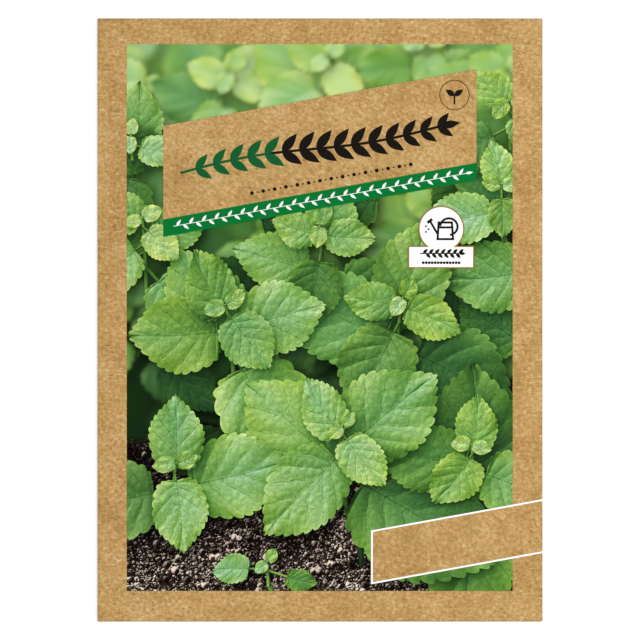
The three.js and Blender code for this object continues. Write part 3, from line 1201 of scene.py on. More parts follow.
@dataclass(frozen=True)
class LeafForm:
    """The blade that all the picture's herb leaves share, for a leaf one unit long.

    Its base is at the origin and its tip at y = 1. The margin of one side runs from the base, back round
    the lobe and up to the tip as s goes from 0 to 1, and a row of the grid runs from the midrib to it.
    """

    half_width: float = 0.40
    lobe: float = 0.13
    taper: float = 0.72
    rib_power: float = 2.6
    vein_bow: float = 0.05
    veins: int = 7
    stagger: float = 0.2
    swell: float = 0.011
    teeth_per_vein: int = 2
    rows_per_tooth: int = 6
    tooth: float = 0.036
    tooth_lean: float = 0.8
    columns: int = 13
    end_gap: float = 0.004

    def grid(self) -> tuple[Array, Array, Array, Array]:
        """The blade's x and y, s and the signed part across, by row and column.

        The margin's x is a sine of pi s that closes faster towards the tip, and its y blends s with a
        cosine, less a lobe round the base. Teeth push it outwards by the absolute cosine of pi s times
        their number, to the power 0.6, which gives round teeth with sharp gaps. A row's foot is on the
        midrib at s to a power, and the row bows towards the base, as side veins do.

        Returns:
            x, y, s and the part across, which is negative on the left.
        """
        teeth = self.veins * self.teeth_per_vein
        s = np.linspace(self.end_gap, 1 - self.end_gap, teeth * self.rows_per_tooth + 1)
        angle = np.pi * s
        x = self.half_width * 1.12 * np.sin(angle) * (1 - self.taper * s**3)
        y = 0.25 * (1 - np.cos(angle)) + 0.5 * s
        y = y - self.lobe * np.sin(2 * angle) * (1 - ramp(s, 0.2, 0.5))
        dx, dy = np.gradient(x, s), np.gradient(y, s)
        speed = np.hypot(dx, dy)
        bump = np.abs(np.cos(np.pi * teeth * s)) ** 0.6 - 0.5
        bump = bump * self.tooth * ramp(s, 0.04, 0.16) * (1 - 0.5 * ramp(s, 0.9, 1))
        side = 1 - (1 - np.linspace(0, 1, self.columns)) ** 1.2
        part = np.concatenate([-side[::-1], side[1:]])[None, :]
        across = np.abs(part)
        edge = across**9
        tooth_x = bump * (dy + self.tooth_lean * dx) / speed
        tooth_y = bump * (-dx + self.tooth_lean * dy) / speed
        foot = s**self.rib_power
        bow = self.vein_bow * np.sin(angle)[:, None] * across * (1 - across)
        blade_x = across * x[:, None] + edge * tooth_x[:, None]
        blade_y = foot[:, None] * (1 - across) + across * y[:, None] - bow + edge * tooth_y[:, None]
        return np.sign(part) * blade_x, blade_y, s[:, None] + 0 * part, part + 0 * s[:, None]


@dataclass(frozen=True)
class PictureLight:
    """How the picture's plants are lit: a soft key from the upper left under a pale sky."""

    key: Triple = (-0.50, 0.64, 0.62)
    ambient: float = 0.28
    gleam_power: float = 10.0
    gleam_colour: Colour = (184, 214, 172)
    palette: tuple[tuple[float, Colour], ...] = (
        (0.0, (10, 22, 10)),
        (0.2, (36, 70, 30)),
        (0.4, (64, 110, 46)),
        (0.6, (100, 150, 64)),
        (0.8, (130, 176, 86)),
        (1.0, (152, 195, 110)),
        (1.3, (190, 221, 152)),
    )

    def shading(self, x: Array, y: Array, z: Array) -> tuple[Array, Array]:
        """Light and gleam over a relief.

        Light is a share of the open sky, by how far the normal points up, plus the key's cosine. Gleam
        is a power of the normal's cosine to the direction half-way between the key and the viewer.

        Args:
            x: Places across the picture.
            y: Places up the picture.
            z: Height towards the viewer.

        Returns:
            The light, about 1 where the key falls squarely, and the gleam from 0 to 1.
        """
        normal = unit_normals(x, y, z)
        key = np.array(self.key) / np.linalg.norm(self.key)
        half = key + (0, 0, 1)
        half = half / np.linalg.norm(half)
        light = self.ambient * (0.5 + 0.5 * normal[..., 2]) + np.clip(normal @ key, 0, 1)
        return light, np.clip(normal @ half, 0, 1) ** self.gleam_power

    def leaf_colour(self, value: Array) -> Array:
        """The screen colour of a leaf at a value from 0, in deep shade, to about 1.3."""
        values, colours = zip(*self.palette)
        return np.stack([np.interp(value, values, channel) for channel in zip(*colours)], axis=-1)


@dataclass
class PlantSheet:
    """One leaf or stem of the picture, as a grid of places with a relief that is only painted."""

    x: Array
    y: Array
    relief: Array
    lines: Array
    rank: float
    tone: Array | float
    tint: Colour
    detail: float
    gleam: float
    warmth: Array | float = 0.0
    paint: Array | None = None
    keep: Array | None = None

    def outline(self) -> Array:
        """The grid's right edge up and its left edge down, as x and y."""
        right, left = (np.stack([self.x[:, side], self.y[:, side]], axis=1) for side in (-1, 0))
        return np.concatenate([right, left[::-1]])

    def colour(self, light: PictureLight, shade: Array | float) -> None:
        """Sets the sheet's paint in linear light, with its detail as the fourth number.

        Args:
            light: The picture's light.
            shade: The share of it that gets to the sheet.
        """
        brightness, gleam = light.shading(self.x, self.y, self.relief)
        warm = np.multiply(self.warmth, 1.0)[..., None] * (0.10, 0.03, -0.16) + 1
        screen = light.leaf_colour(self.tone * brightness * shade) * np.array(self.tint) * warm
        sheen = (gleam * self.gleam * np.multiply(shade, shade))[..., None]
        screen = screen + (np.array(light.gleam_colour) - screen) * sheen
        detail = np.full((*self.x.shape, 1), self.detail)
        self.paint = np.concatenate([to_linear(screen), detail], axis=-1)

    def faces_up(self) -> Array:
        """Which cells aren't turned over, by the cross product of their diagonals.

        Returns:
            True or False by cell.
        """
        x, y = self.x, self.y
        first = (x[1:, 1:] - x[:-1, :-1], y[1:, 1:] - y[:-1, :-1])
        second = (x[1:, :-1] - x[:-1, 1:], y[1:, :-1] - y[:-1, 1:])
        return first[0] * second[1] - first[1] * second[0] > 0


@dataclass(frozen=True)
class HerbLeaf:
    """Where one leaf of the picture lies and how it is bent. Angles are in radians from +X."""

    base: tuple[float, float]
    heading: float
    length: float
    width: float = 1.0
    bend: float = 0.0
    fold: float = 0.25
    droop: float = 0.5
    cup: float = 0.4
    roll: float = 0.0
    pitch: float = 0.0
    wave: float = 0.0
    rank: float = 0.0
    tone: float = 1.0
    tint: Colour = (1, 1, 1)
    detail: float = 1.0
    gleam: float = 0.3

    def posed(self, x: Array, y: Array, rise: Array, ease: float) -> tuple[Array, Array, Array]:
        """The blade bent and turned in space, seen from straight above.

        It droops as an arc along its length, folds up at the midrib, bends down towards its margins by
        the square of the distance, rolls about its midrib and pitches about its base.

        Args:
            x: Places across the flat blade.
            y: Places along it.
            rise: Its small relief.
            ease: How much of every bend and turn is used, from 0 to 1.

        Returns:
            Places to the right of the base, along the heading and towards the viewer.
        """
        droop = max(0.05, self.droop * ease)
        fold, roll, pitch = self.fold * ease, self.roll * ease, self.pitch * ease
        along = self.length * np.sin(droop * y / self.length) / droop
        height = -self.length * (1 - np.cos(droop * y / self.length)) / droop + rise
        height = height + np.abs(x) * math.sin(fold) - ease * self.cup * x**2 / (0.8 * self.length)
        across = x * math.cos(fold)
        across, height = (
            across * math.cos(roll) + height * math.sin(roll),
            height * math.cos(roll) - across * math.sin(roll),
        )
        along, height = (
            along * math.cos(pitch) - height * math.sin(pitch),
            height * math.cos(pitch) + along * math.sin(pitch),
        )
        return across + self.bend * along**2 / self.length, along, height

    def sheet(self, form: LeafForm) -> PlantSheet:
        """The leaf as a grid.

        Between the side veins it swells as the absolute sine of pi times the vein's number, and its
        margin waves. It is bent less and less until no part of it is seen edge-on.

        Args:
            form: The blade that it is bent from.

        Returns:
            The leaf, not yet painted.
        """
        blade_x, blade_y, s, part = form.grid()
        across = np.abs(part)
        x, y = blade_x * self.length * self.width, blade_y * self.length
        phase = form.veins * s + form.stagger * np.sign(part)
        swell = np.abs(np.sin(np.pi * (phase - 0.5))) ** 0.7 * (4 * across * (1 - across)) ** 0.7
        wave = np.sin(2 * np.pi * 2.3 * s + self.wave + 1.3 * np.sign(part))
        rise = self.length * (form.swell * swell + 0.03 * across**3 * wave)
        for ease in (1.0, 0.8, 0.6, 0.4, 0.2):
            local_x, local_y, relief = self.posed(x, y, rise, ease)
            if np.percentile(unit_normals(local_x, local_y, relief)[..., 2], 3) > 0.3:
                break
        cos, sin = math.cos(self.heading), math.sin(self.heading)
        place_x = self.base[0] + local_x * sin + local_y * cos
        place_y = self.base[1] - local_x * cos + local_y * sin
        pitch = np.hypot(np.gradient(place_x, axis=0), np.gradient(place_y, axis=0))
        pitch = pitch / np.gradient(s * form.veins, axis=0)
        thin = (self.length / 25) ** 0.5
        rib = np.abs(blade_x) * self.length / (thin * (1.15 - 0.7 * s)) + 0.6 * ramp(s, 0.84, 0.98)
        lines = np.stack([phase, across, pitch / thin, rib], axis=-1)
        warmth = across**2 - 0.5 + 0.5 * (1 - ramp(s, 0, 0.35)) + 0.3 * np.sin(7 * s + self.wave)
        return PlantSheet(
            place_x, place_y, relief, lines, self.rank, self.tone, self.tint, self.detail, self.gleam, warmth
        )


@dataclass(frozen=True)
class HerbStem:
    """A stem of the picture, from its foot to a node with a sideways bow.

    Its tone fades to foot_tone at the foot.
    """

    foot: tuple[float, float]
    node: tuple[float, float]
    half_width: float
    bow: float = 0.0
    rank: float = 0.0
    tone: float = 0.95
    foot_tone: float = 0.95
    tint: Colour = (1.1, 1.02, 0.95)

    def sheet(self) -> PlantSheet:
        """A ribbon along a parabola, with the relief of a round rod.

        Returns:
            The stem, not yet painted.
        """
        start, end = np.array(self.foot), np.array(self.node)
        part = np.linspace(0, 1, 25)[:, None]
        side = np.array([end[1] - start[1], start[0] - end[0]])
        side = side / np.linalg.norm(side)
        path = start + (end - start) * part + side * self.bow * 4 * part * (1 - part)
        x, y = ribbon(path, self.half_width * np.linspace(1.2, 1, len(path)), 9)
        across = np.linspace(-1, 1, 9)[None, :] + 0 * x
        relief = self.half_width * np.sqrt(1.02 - across**2)
        lines = np.stack([0 * x, 0 * x, 0 * x + FAR, 0 * x + FAR], axis=-1)
        tone = self.foot_tone + (self.tone - self.foot_tone) * ramp(part, 0, 0.8)
        return PlantSheet(x, y, relief, lines, self.rank, tone, self.tint, 0.0, 0.12)


@dataclass(frozen=True)
class HerbShoot:
    """A leafy shoot seen from above: pairs of leaves, each turned a quarter from the pair above it."""

    tip: tuple[float, float]
    spin: float
    pairs: int = 4
    smallest: float = 6.0
    largest: float = 20.0
    lean: float = 0.0
    drop: float = 2.4
    rank: float = 0.0
    tone: float = 1.0
    stem: float = 16.0

    def leaf(self, rng: Random, node: Array, pair: int, side: int) -> HerbLeaf:
        """One leaf of a pair, on its stalk. What points away from the viewer looks shorter and steeper.

        Args:
            rng: For the random draws.
            node: Where the pair grows from, as x and y.
            pair: The pair's number, from 0 at the tip.
            side: 0 or 1, which is turned round by a half.

        Returns:
            The leaf.
        """
        grown = pair / (self.pairs - 1)
        heading = math.radians(self.spin + 90 * pair + 180 * side) + rng.normal(0, 0.16)
        away = math.sin(heading)
        stalk = (0.5 + 5.0 * grown**1.3) * (1 - 0.35 * max(0.0, away))
        direction = np.array([math.cos(heading), 0.85 * away])
        base = node + direction * stalk
        length = (self.smallest + (self.largest - self.smallest) * grown**0.9) * rng.uniform(0.86, 1.12)
        return HerbLeaf(
            base=(base[0], base[1]),
            heading=math.atan2(direction[1], direction[0]),
            length=length,
            width=rng.uniform(0.86, 1.04),
            bend=rng.normal(0, 0.09),
            fold=rng.uniform(0.16, 0.5) * (1.5 - 0.6 * grown),
            droop=rng.uniform(0.3, 1.0) * (0.5 + 0.5 * grown),
            cup=rng.uniform(0.0, 0.5),
            roll=rng.normal(0, 0.3),
            pitch=0.35 * (1 - grown) + rng.normal(0.05, 0.18) + 0.25 * max(0.0, away),
            wave=rng.uniform(0, 6.28),
            rank=self.rank + 1.7 * pair + 0.35 * (1 + away) + rng.uniform(0, 0.2),
            tone=self.tone * rng.uniform(0.86, 1.12) ** (1 + 2.5 * grown) * (1.155 - 0.28 * grown),
            tint=leaf_tint(rng, 1 - grown),
            detail=1.08 - 0.3 * grown,
            gleam=rng.uniform(0.1, 0.45),
        )

    def grow(self, rng: Random) -> list[HerbLeaf | HerbStem]:
        """The shoot's leaves, their stalks and the stem between the pairs and down to the ground.

        Args:
            rng: For the random draws.

        Returns:
            Leaves and stems, from the tip down.
        """
        grown = []
        node = np.array(self.tip, float)
        for pair in range(self.pairs):
            thick = 0.22 + 0.075 * pair
            for side in (0, 1):
                leaf = self.leaf(rng, node, pair, side)
                grown.append(leaf)
                grown.append(HerbStem(tuple(node), leaf.base, thick, rank=leaf.rank + 0.01))
            below = node + (self.lean, -self.drop * (1 + 0.8 * pair))
            rank = self.rank + 1.7 * pair + 1.2
            grown.append(HerbStem(tuple(below), tuple(node), thick + 0.12, rank=rank))
            node = below
        foot = node + (self.lean * 2 + rng.normal(0, 1.5), -self.stem)
        rank = self.rank + 1.7 * self.pairs
        grown.append(HerbStem(tuple(foot), tuple(node), 0.6, 1.2, rank, self.tone * 0.85, 0.12))
        return grown


def leaf_tint(rng: Random, young: float) -> Colour:
    """A leaf's own hue: young ones are yellower, old ones bluer."""
    warm = 0.03 * young + float(np.clip(rng.normal(0, 0.02), -0.04, 0.03))
    return (1 + warm * 1.3, 1 + warm * 0.3, 1 - warm * 2.4)


@dataclass(frozen=True)
class SoftRound:
    """One round of leaves that are out of focus, painted on the backdrop before it is blurred.

    tones are its tones at the three heights.
    """

    count: int
    low: float
    high: float
    small: float
    large: float
    blur: float
    tones: Triple
    shadow: float = 0.4
    reach: float = 58.0
    heights: Triple = (-20.0, 30.0, 66.0)

    def leaves(self, rng: Random) -> list[HerbLeaf]:
        """The round's leaves, with places, bends and hues drawn at random.

        Args:
            rng: For the random draws.

        Returns:
            The leaves.
        """
        places = rng.uniform((-self.reach, self.low), (self.reach, self.high), (self.count, 2))
        return [
            HerbLeaf(
                base=(x, y),
                heading=rng.uniform(0, 6.28),
                length=rng.uniform(self.small, self.large),
                width=rng.uniform(0.8, 1.05),
                bend=rng.normal(0, 0.12),
                fold=rng.uniform(0.0, 0.45),
                droop=rng.uniform(0.2, 0.9),
                roll=rng.normal(0, 0.35),
                pitch=rng.normal(0, 0.3),
                wave=rng.uniform(0, 6.28),
                tone=float(np.interp(y, self.heights, self.tones)) * rng.uniform(0.86, 1.14),
                tint=leaf_tint(rng, 0.3),
                gleam=rng.uniform(0, 0.25),
            )
            for x, y in places
        ]


class PlantPicture:
    """The picture of a leafy herb that fills the front: its own bed of shoots, made by rule."""

    shoots = (
        HerbShoot((-25, 4), 24, 4, 6, 33, lean=0.6, rank=2.0, tone=1.03),
        HerbShoot((22, 6), 66, 4, 6, 32, lean=-0.5, rank=3.2, tone=0.98),
        HerbShoot((6, -28), 40, 4, 5, 37, lean=0.2, rank=0.0, tone=1.08),
        HerbShoot((40, -33), -14, 4, 5, 31, lean=0.4, rank=1.2, tone=1.0),
        HerbShoot((-38, -38), 12, 3, 6, 30, lean=-0.4, rank=1.0, tone=1.02, stem=9),
        HerbShoot((-47, 27), 40, 4, 5, 23, lean=0.3, rank=4.6, tone=1.17),
        HerbShoot((48, 36), 10, 4, 5, 24, lean=0.2, rank=4.8, tone=0.97),
        HerbShoot((0, 25), 75, 4, 6, 23, lean=0.2, rank=5.0, tone=0.9),
        HerbShoot((-14, -64), 62, 2, 4, 9, lean=0.2, rank=0.9, tone=0.98, stem=3),
        HerbShoot((-50, 49), 70, 3, 5, 17, lean=0.2, rank=6.0, tone=1.26),
        HerbShoot((50, 58), 30, 3, 6, 20, lean=0.2, rank=6.5, tone=1.03),
    )
    far_shoots = (
        HerbShoot((-47, 62), 20, tone=1.12),
        HerbShoot((-24, 66), 65, largest=21, tone=1.17),
        HerbShoot((2, 70), 35, largest=22, tone=1.2),
        HerbShoot((28, 74), 5, tone=1.18),
        HerbShoot((50, 66), 50, tone=1.12),
        HerbShoot((-12, 22), 10, tone=0.75),
        HerbShoot((30, 30), 30, tone=0.85),
        HerbShoot((50, 8), 80, largest=21, tone=0.62),
        HerbShoot((-50, 4), 55, largest=21, tone=0.5),
        HerbShoot((2, 2), 15, tone=0.34),
    )
    rounds = (
        SoftRound(34, 10, 82, 18, 30, 1.0, (0.16, 0.46, 0.86), 0.5),
        SoftRound(44, -34, 80, 13, 22, 0.6, (0.22, 0.5, 1.1), 0.55),
    )
    behind = (
        HerbLeaf((55, 13), 3.35, 23, bend=0.1, fold=0.3, rank=9.0, tone=0.86),
        HerbLeaf((53, -6), 2.5, 19, bend=-0.1, fold=0.2, rank=9.4, tone=0.6, gleam=0.1),
        HerbLeaf((-57, 47), -0.25, 17, bend=-0.1, fold=0.3, rank=9.0, tone=0.56, gleam=0.1),
    )
    far_blur = 0.3
    far_shadow = 0.6
    backdrop_heights = (-40, 0, 30, 52, 75)
    backdrop_tones = (0.08, 0.1, 0.3, 0.5, 0.6)
    sheet_shadows = (CastShadow(0.7, (0.6, -0.8), 0.52), CastShadow(4.4, (1.8, -2.6), 0.68))
    backdrop_shadows = (CastShadow(1.1, (1.2, -1.6), 0.75), CastShadow(4.0, (2.2, -3.0), 0.55))
    solid_blur = 0.4
    solid_cover = 0.985
    soil_top = -31.0
    soil_drift = 5.0
    soil_softness = 2.0
    haze = (46, 64)

    def __init__(self, paper: FoldedPaper, seed: int = 23) -> None:
        """Sets up an empty picture.

        Args:
            paper: The paper that it is printed on.
            seed: For every random draw of the picture.
        """
        self.paper = paper
        self.area = PictureField()
        self.canvas = Canvas(self.area)
        self.form = LeafForm()
        self.light = PictureLight()
        self.rng = np.random.default_rng(seed)
        self.sheets: list[PlantSheet] = []
        self.cover = self.canvas.blank()

    def fill_gaps(self, count: int = 9) -> None:
        """Lays dim leaves behind the shoots, so that few gaps go down to the backdrop.

        Args:
            count: How many leaves.
        """
        rng = self.rng
        for _ in range(count):
            x, y = rng.uniform(-54, 54), rng.uniform(-38, 46)
            depth = rng.uniform(0, 1)
            leaf = HerbLeaf(
                base=(x, y),
                heading=rng.uniform(0, math.tau),
                length=rng.uniform(15, 24),
                width=rng.uniform(0.85, 1.05),
                bend=rng.normal(0, 0.1),
                fold=rng.uniform(0.0, 0.4),
                droop=rng.uniform(0.2, 0.9),
                roll=rng.normal(0, 0.3),
                wave=rng.uniform(0, 6.28),
                rank=11 + 4 * depth,
                tone=0.56 - 0.32 * depth,
                tint=leaf_tint(rng, 0),
                detail=0.8,
                gleam=0.12 * (1 - depth),
            )
            self.sheets.append(leaf.sheet(self.form))

    def shaded(self, shadows: tuple[CastShadow, ...], waves: Array, places: Grid | None = None) -> Array:
        """The light that a tight and a wide shadow leave together, as CastShadow.light gives it."""
        tight, wide = (shadow.light(self.canvas, waves, places) for shadow in shadows)
        return tight * wide

    def shade_sheets(self) -> None:
        """Goes from the nearest sheet to the furthest, and shades each by what lies over it.

        The cover so far casts a tight shadow for contact and a wide one for the light that dense leaves
        take. Cells that are wholly covered get no face.
        """
        canvas = self.canvas
        self.sheets.sort(key=lambda sheet: sheet.rank)
        for sheet in self.sheets:
            waves = canvas.waves(self.cover)
            sheet.colour(self.light, self.shaded(self.sheet_shadows, waves, (sheet.x, sheet.y)))
            sheet.keep = self.visible_cells(sheet, canvas.blurred(waves, self.solid_blur) > self.solid_cover)
            rows, columns, mask = canvas.inside(sheet.outline())
            self.cover[rows, columns] = np.maximum(self.cover[rows, columns], mask)

    def visible_cells(self, sheet: PlantSheet, solid: Array) -> Array:
        """Which cells of a sheet show: some corner is uncovered and some corner is in the picture.

        Args:
            sheet: The leaf or stem.
            solid: True in the raster's cells that nearer sheets wholly cover.

        Returns:
            True or False by cell of the sheet.
        """
        hidden = self.canvas.sampled(solid.astype(float), sheet.x, sheet.y) > 0.99
        x, y = self.area.clipped(sheet.x, sheet.y)
        gone = hidden | (x != sheet.x) | (y != sheet.y)
        corners = gone[:-1, :-1] & gone[:-1, 1:] & gone[1:, 1:] & gone[1:, :-1]
        return sheet.faces_up() & ~corners

    def stack(self) -> Array:
        """The height of each sheet's layer of ink, which stays below the panels' edges.

        A sheet's layer is one above the highest that it lies on, and the layers share the room evenly.

        Returns:
            A height for each sheet, in millimetres.
        """
        heights = self.canvas.blank()
        levels = np.zeros(len(self.sheets))
        for number in reversed(range(len(self.sheets))):
            rows, columns, mask = self.canvas.inside(self.sheets[number].outline())
            under = heights[rows, columns]
            level = under[mask].max(initial=0) + 1
            under[mask] = level
            levels[number] = level
        LOG.info("picture: %d sheets in %d layers", len(self.sheets), int(heights.max()))
        room = Level.PANEL_EDGE.value - Level.PLANTS.value
        return Level.PLANTS.value + room * levels / (heights.max() + 1)

    def print_plants(self, material: Material, per_piece: int = 90000) -> None:
        """Makes the sheets into as few pieces as hold them.

        Args:
            material: The leaves' ink.
            per_piece: The most quads that a piece may have.
        """
        maker, faces, number = MeshMaker(), 0, 1
        for sheet, lift in zip(self.sheets, self.stack()):
            shown = int(sheet.keep.sum())
            if shown == 0:
                continue
            if faces + shown > per_piece:
                dress(maker.make(f"picture_plants_{number}", material))
                maker, faces, number = MeshMaker(), 0, number + 1
            x, y = self.area.clipped(sheet.x, sheet.y)
            points = self.paper.printed_point(x, y, lift)
            maker.add_grid(points, sheet.keep, paint=sheet.paint, lines=sheet.lines)
            faces += shown
        dress(maker.make(f"picture_plants_{number}", material))

    def painted_backdrop(self) -> Array:
        """The blurred leaves behind the plants, in linear light: rounds of leaves, then whole shoots.

        Returns:
            The paint of every cell of the raster.
        """
        canvas = self.canvas
        tone = np.interp(canvas.y, self.backdrop_heights, self.backdrop_tones)
        wash = to_linear(self.light.leaf_colour(tone))[:, None, :] + np.zeros((1, canvas.columns, 3))
        for soft in self.rounds:
            self.paint_leaves(wash, soft.leaves(self.rng), soft.blur, soft.shadow)
            wash = canvas.softened(wash, soft.blur)
        for shoot in self.far_shoots:
            leaves = [part for part in shoot.grow(self.rng) if isinstance(part, HerbLeaf)]
            leaves.sort(key=lambda leaf: -leaf.rank)
            self.paint_leaves(wash, leaves, self.far_blur, self.far_shadow)
        return canvas.softened(wash, self.far_blur)

    def paint_leaves(self, wash: Array, leaves: list[HerbLeaf], blur: float, depth: float) -> None:
        """Paints leaves in order, each over a shadow that falls away from the light.

        Args:
            wash: The raster of paint, which is changed.
            leaves: The leaves, with the furthest first.
            blur: How far they will be blurred, which widens their shadows.
            depth: How dark a shadow gets.
        """
        canvas = self.canvas
        shadow = CastShadow(1.6 + blur, (1.0, -1.4), depth)
        for leaf in leaves:
            sheet = leaf.sheet(self.form)
            sheet.colour(self.light, 1.0)
            rows, columns, mask = canvas.inside(sheet.outline())
            spot = canvas.blank()
            spot[rows, columns] = mask
            wash *= shadow.light(canvas, canvas.waves(spot))[..., None]
            canvas.lay(wash, sheet)

    def print_backdrop(self, material: Material, pitch: float = 0.4) -> None:
        """The sheet behind the plants, with its paint and its soil as attributes.

        The plants' shadows fade out in the haze, and the soil's upper edge drifts up and down.

        Args:
            material: The backdrop's ink.
            pitch: Size of a cell of the sheet.
        """
        canvas, area = self.canvas, self.area
        wash = self.painted_backdrop()
        drift = canvas.blurred(canvas.waves(self.rng.normal(0, 1, (canvas.rows, canvas.columns))), 5.0)
        drift = drift / drift.std()
        soil_edge = self.soil_top + self.soil_drift * drift
        soil = ramp(soil_edge - canvas.y[:, None], -self.soil_softness, self.soil_softness)
        shade = self.shaded(self.backdrop_shadows, canvas.waves(self.cover))
        x = np.linspace(area.left, area.right, round((area.right - area.left) / pitch) + 1)
        y = np.linspace(area.bottom, area.top, round((area.top - area.bottom) / pitch) + 1)
        x, y = np.meshgrid(x, y)
        dark = 1 - (1 - canvas.sampled(shade, x, y)) * (1 - ramp(y, *self.haze))
        paint = canvas.sampled(wash, x, y) * dark[..., None]
        ground = np.stack([canvas.sampled(soil, x, y), dark, 0 * x, 0 * x + 1], axis=-1)
        paint = np.concatenate([paint, np.ones((*x.shape, 1))], axis=-1)
        maker = MeshMaker()
        maker.add_grid(self.paper.printed_point(x, y, Level.BACKDROP.value), paint=paint, ground=ground)
        dress(maker.make("picture_backdrop", material))

    def build(self, finishes: FinishSet) -> None:
        """Grows the shoots, shades them and prints them over their backdrop.

        Args:
            finishes: The packet's materials.
        """
        for shoot in self.shoots:
            for part in shoot.grow(self.rng):
                self.sheets.append(part.sheet(self.form) if isinstance(part, HerbLeaf) else part.sheet())
        self.sheets.extend(leaf.sheet(self.form) for leaf in self.behind)
        self.fill_gaps()
        self.shade_sheets()
        self.print_plants(finishes.leaves)
        self.print_backdrop(finishes.backdrop)


# ---- Printed panels and marks ----


@dataclass(frozen=True)
class SlantedPanel:
    """A printed panel with upright sides, whose lower and upper edges climb to the right.

    low and high are where its edges cross x = 0.
    """

    left: float
    right: float
    low: float
    high: float
    slant: float = 0.181

    def inset(self, left: float, right: float, edge: float) -> "SlantedPanel":
        """The panel with its sides and its slanted edges moved in."""
        sides = {"left": self.left + left, "right": self.right - right}
        return replace(self, **sides, low=self.low + edge, high=self.high - edge)

    def grid(self, cell: float = 1.2) -> Grid:
        """The panel as a grid whose rows climb with its slant.

        Args:
            cell: About how large its cells are.

        Returns:
            x and y by row and column.
        """
        columns = max(2, round((self.right - self.left) / cell)) + 1
        rows = max(2, round((self.high - self.low) / cell)) + 1
        across, up = np.linspace(self.left, self.right, columns), np.linspace(self.low, self.high, rows)
        x, y = np.meshgrid(across, up)
        return x, y + self.slant * x


class FrontPrinter:
    """Prints flat shapes on the front."""

    def __init__(self, paper: FoldedPaper, inks: dict[Ink, Material]) -> None:
        """Works on the given paper with the given inks."""
        self.paper, self.inks = paper, inks

    def shapes(self, name: str, grids: list[Grid], level: Level, ink: Ink) -> None:
        """Prints a set of grids as one piece.

        Args:
            name: The piece's name.
            grids: Pairs of x and y by row and column.
            level: Its layer of ink.
            ink: Its ink.
        """
        maker = MeshMaker()
        for x, y in grids:
            maker.add_grid(self.paper.printed_point(x, y, level.value))
        dress(maker.make(name, self.inks[ink]))


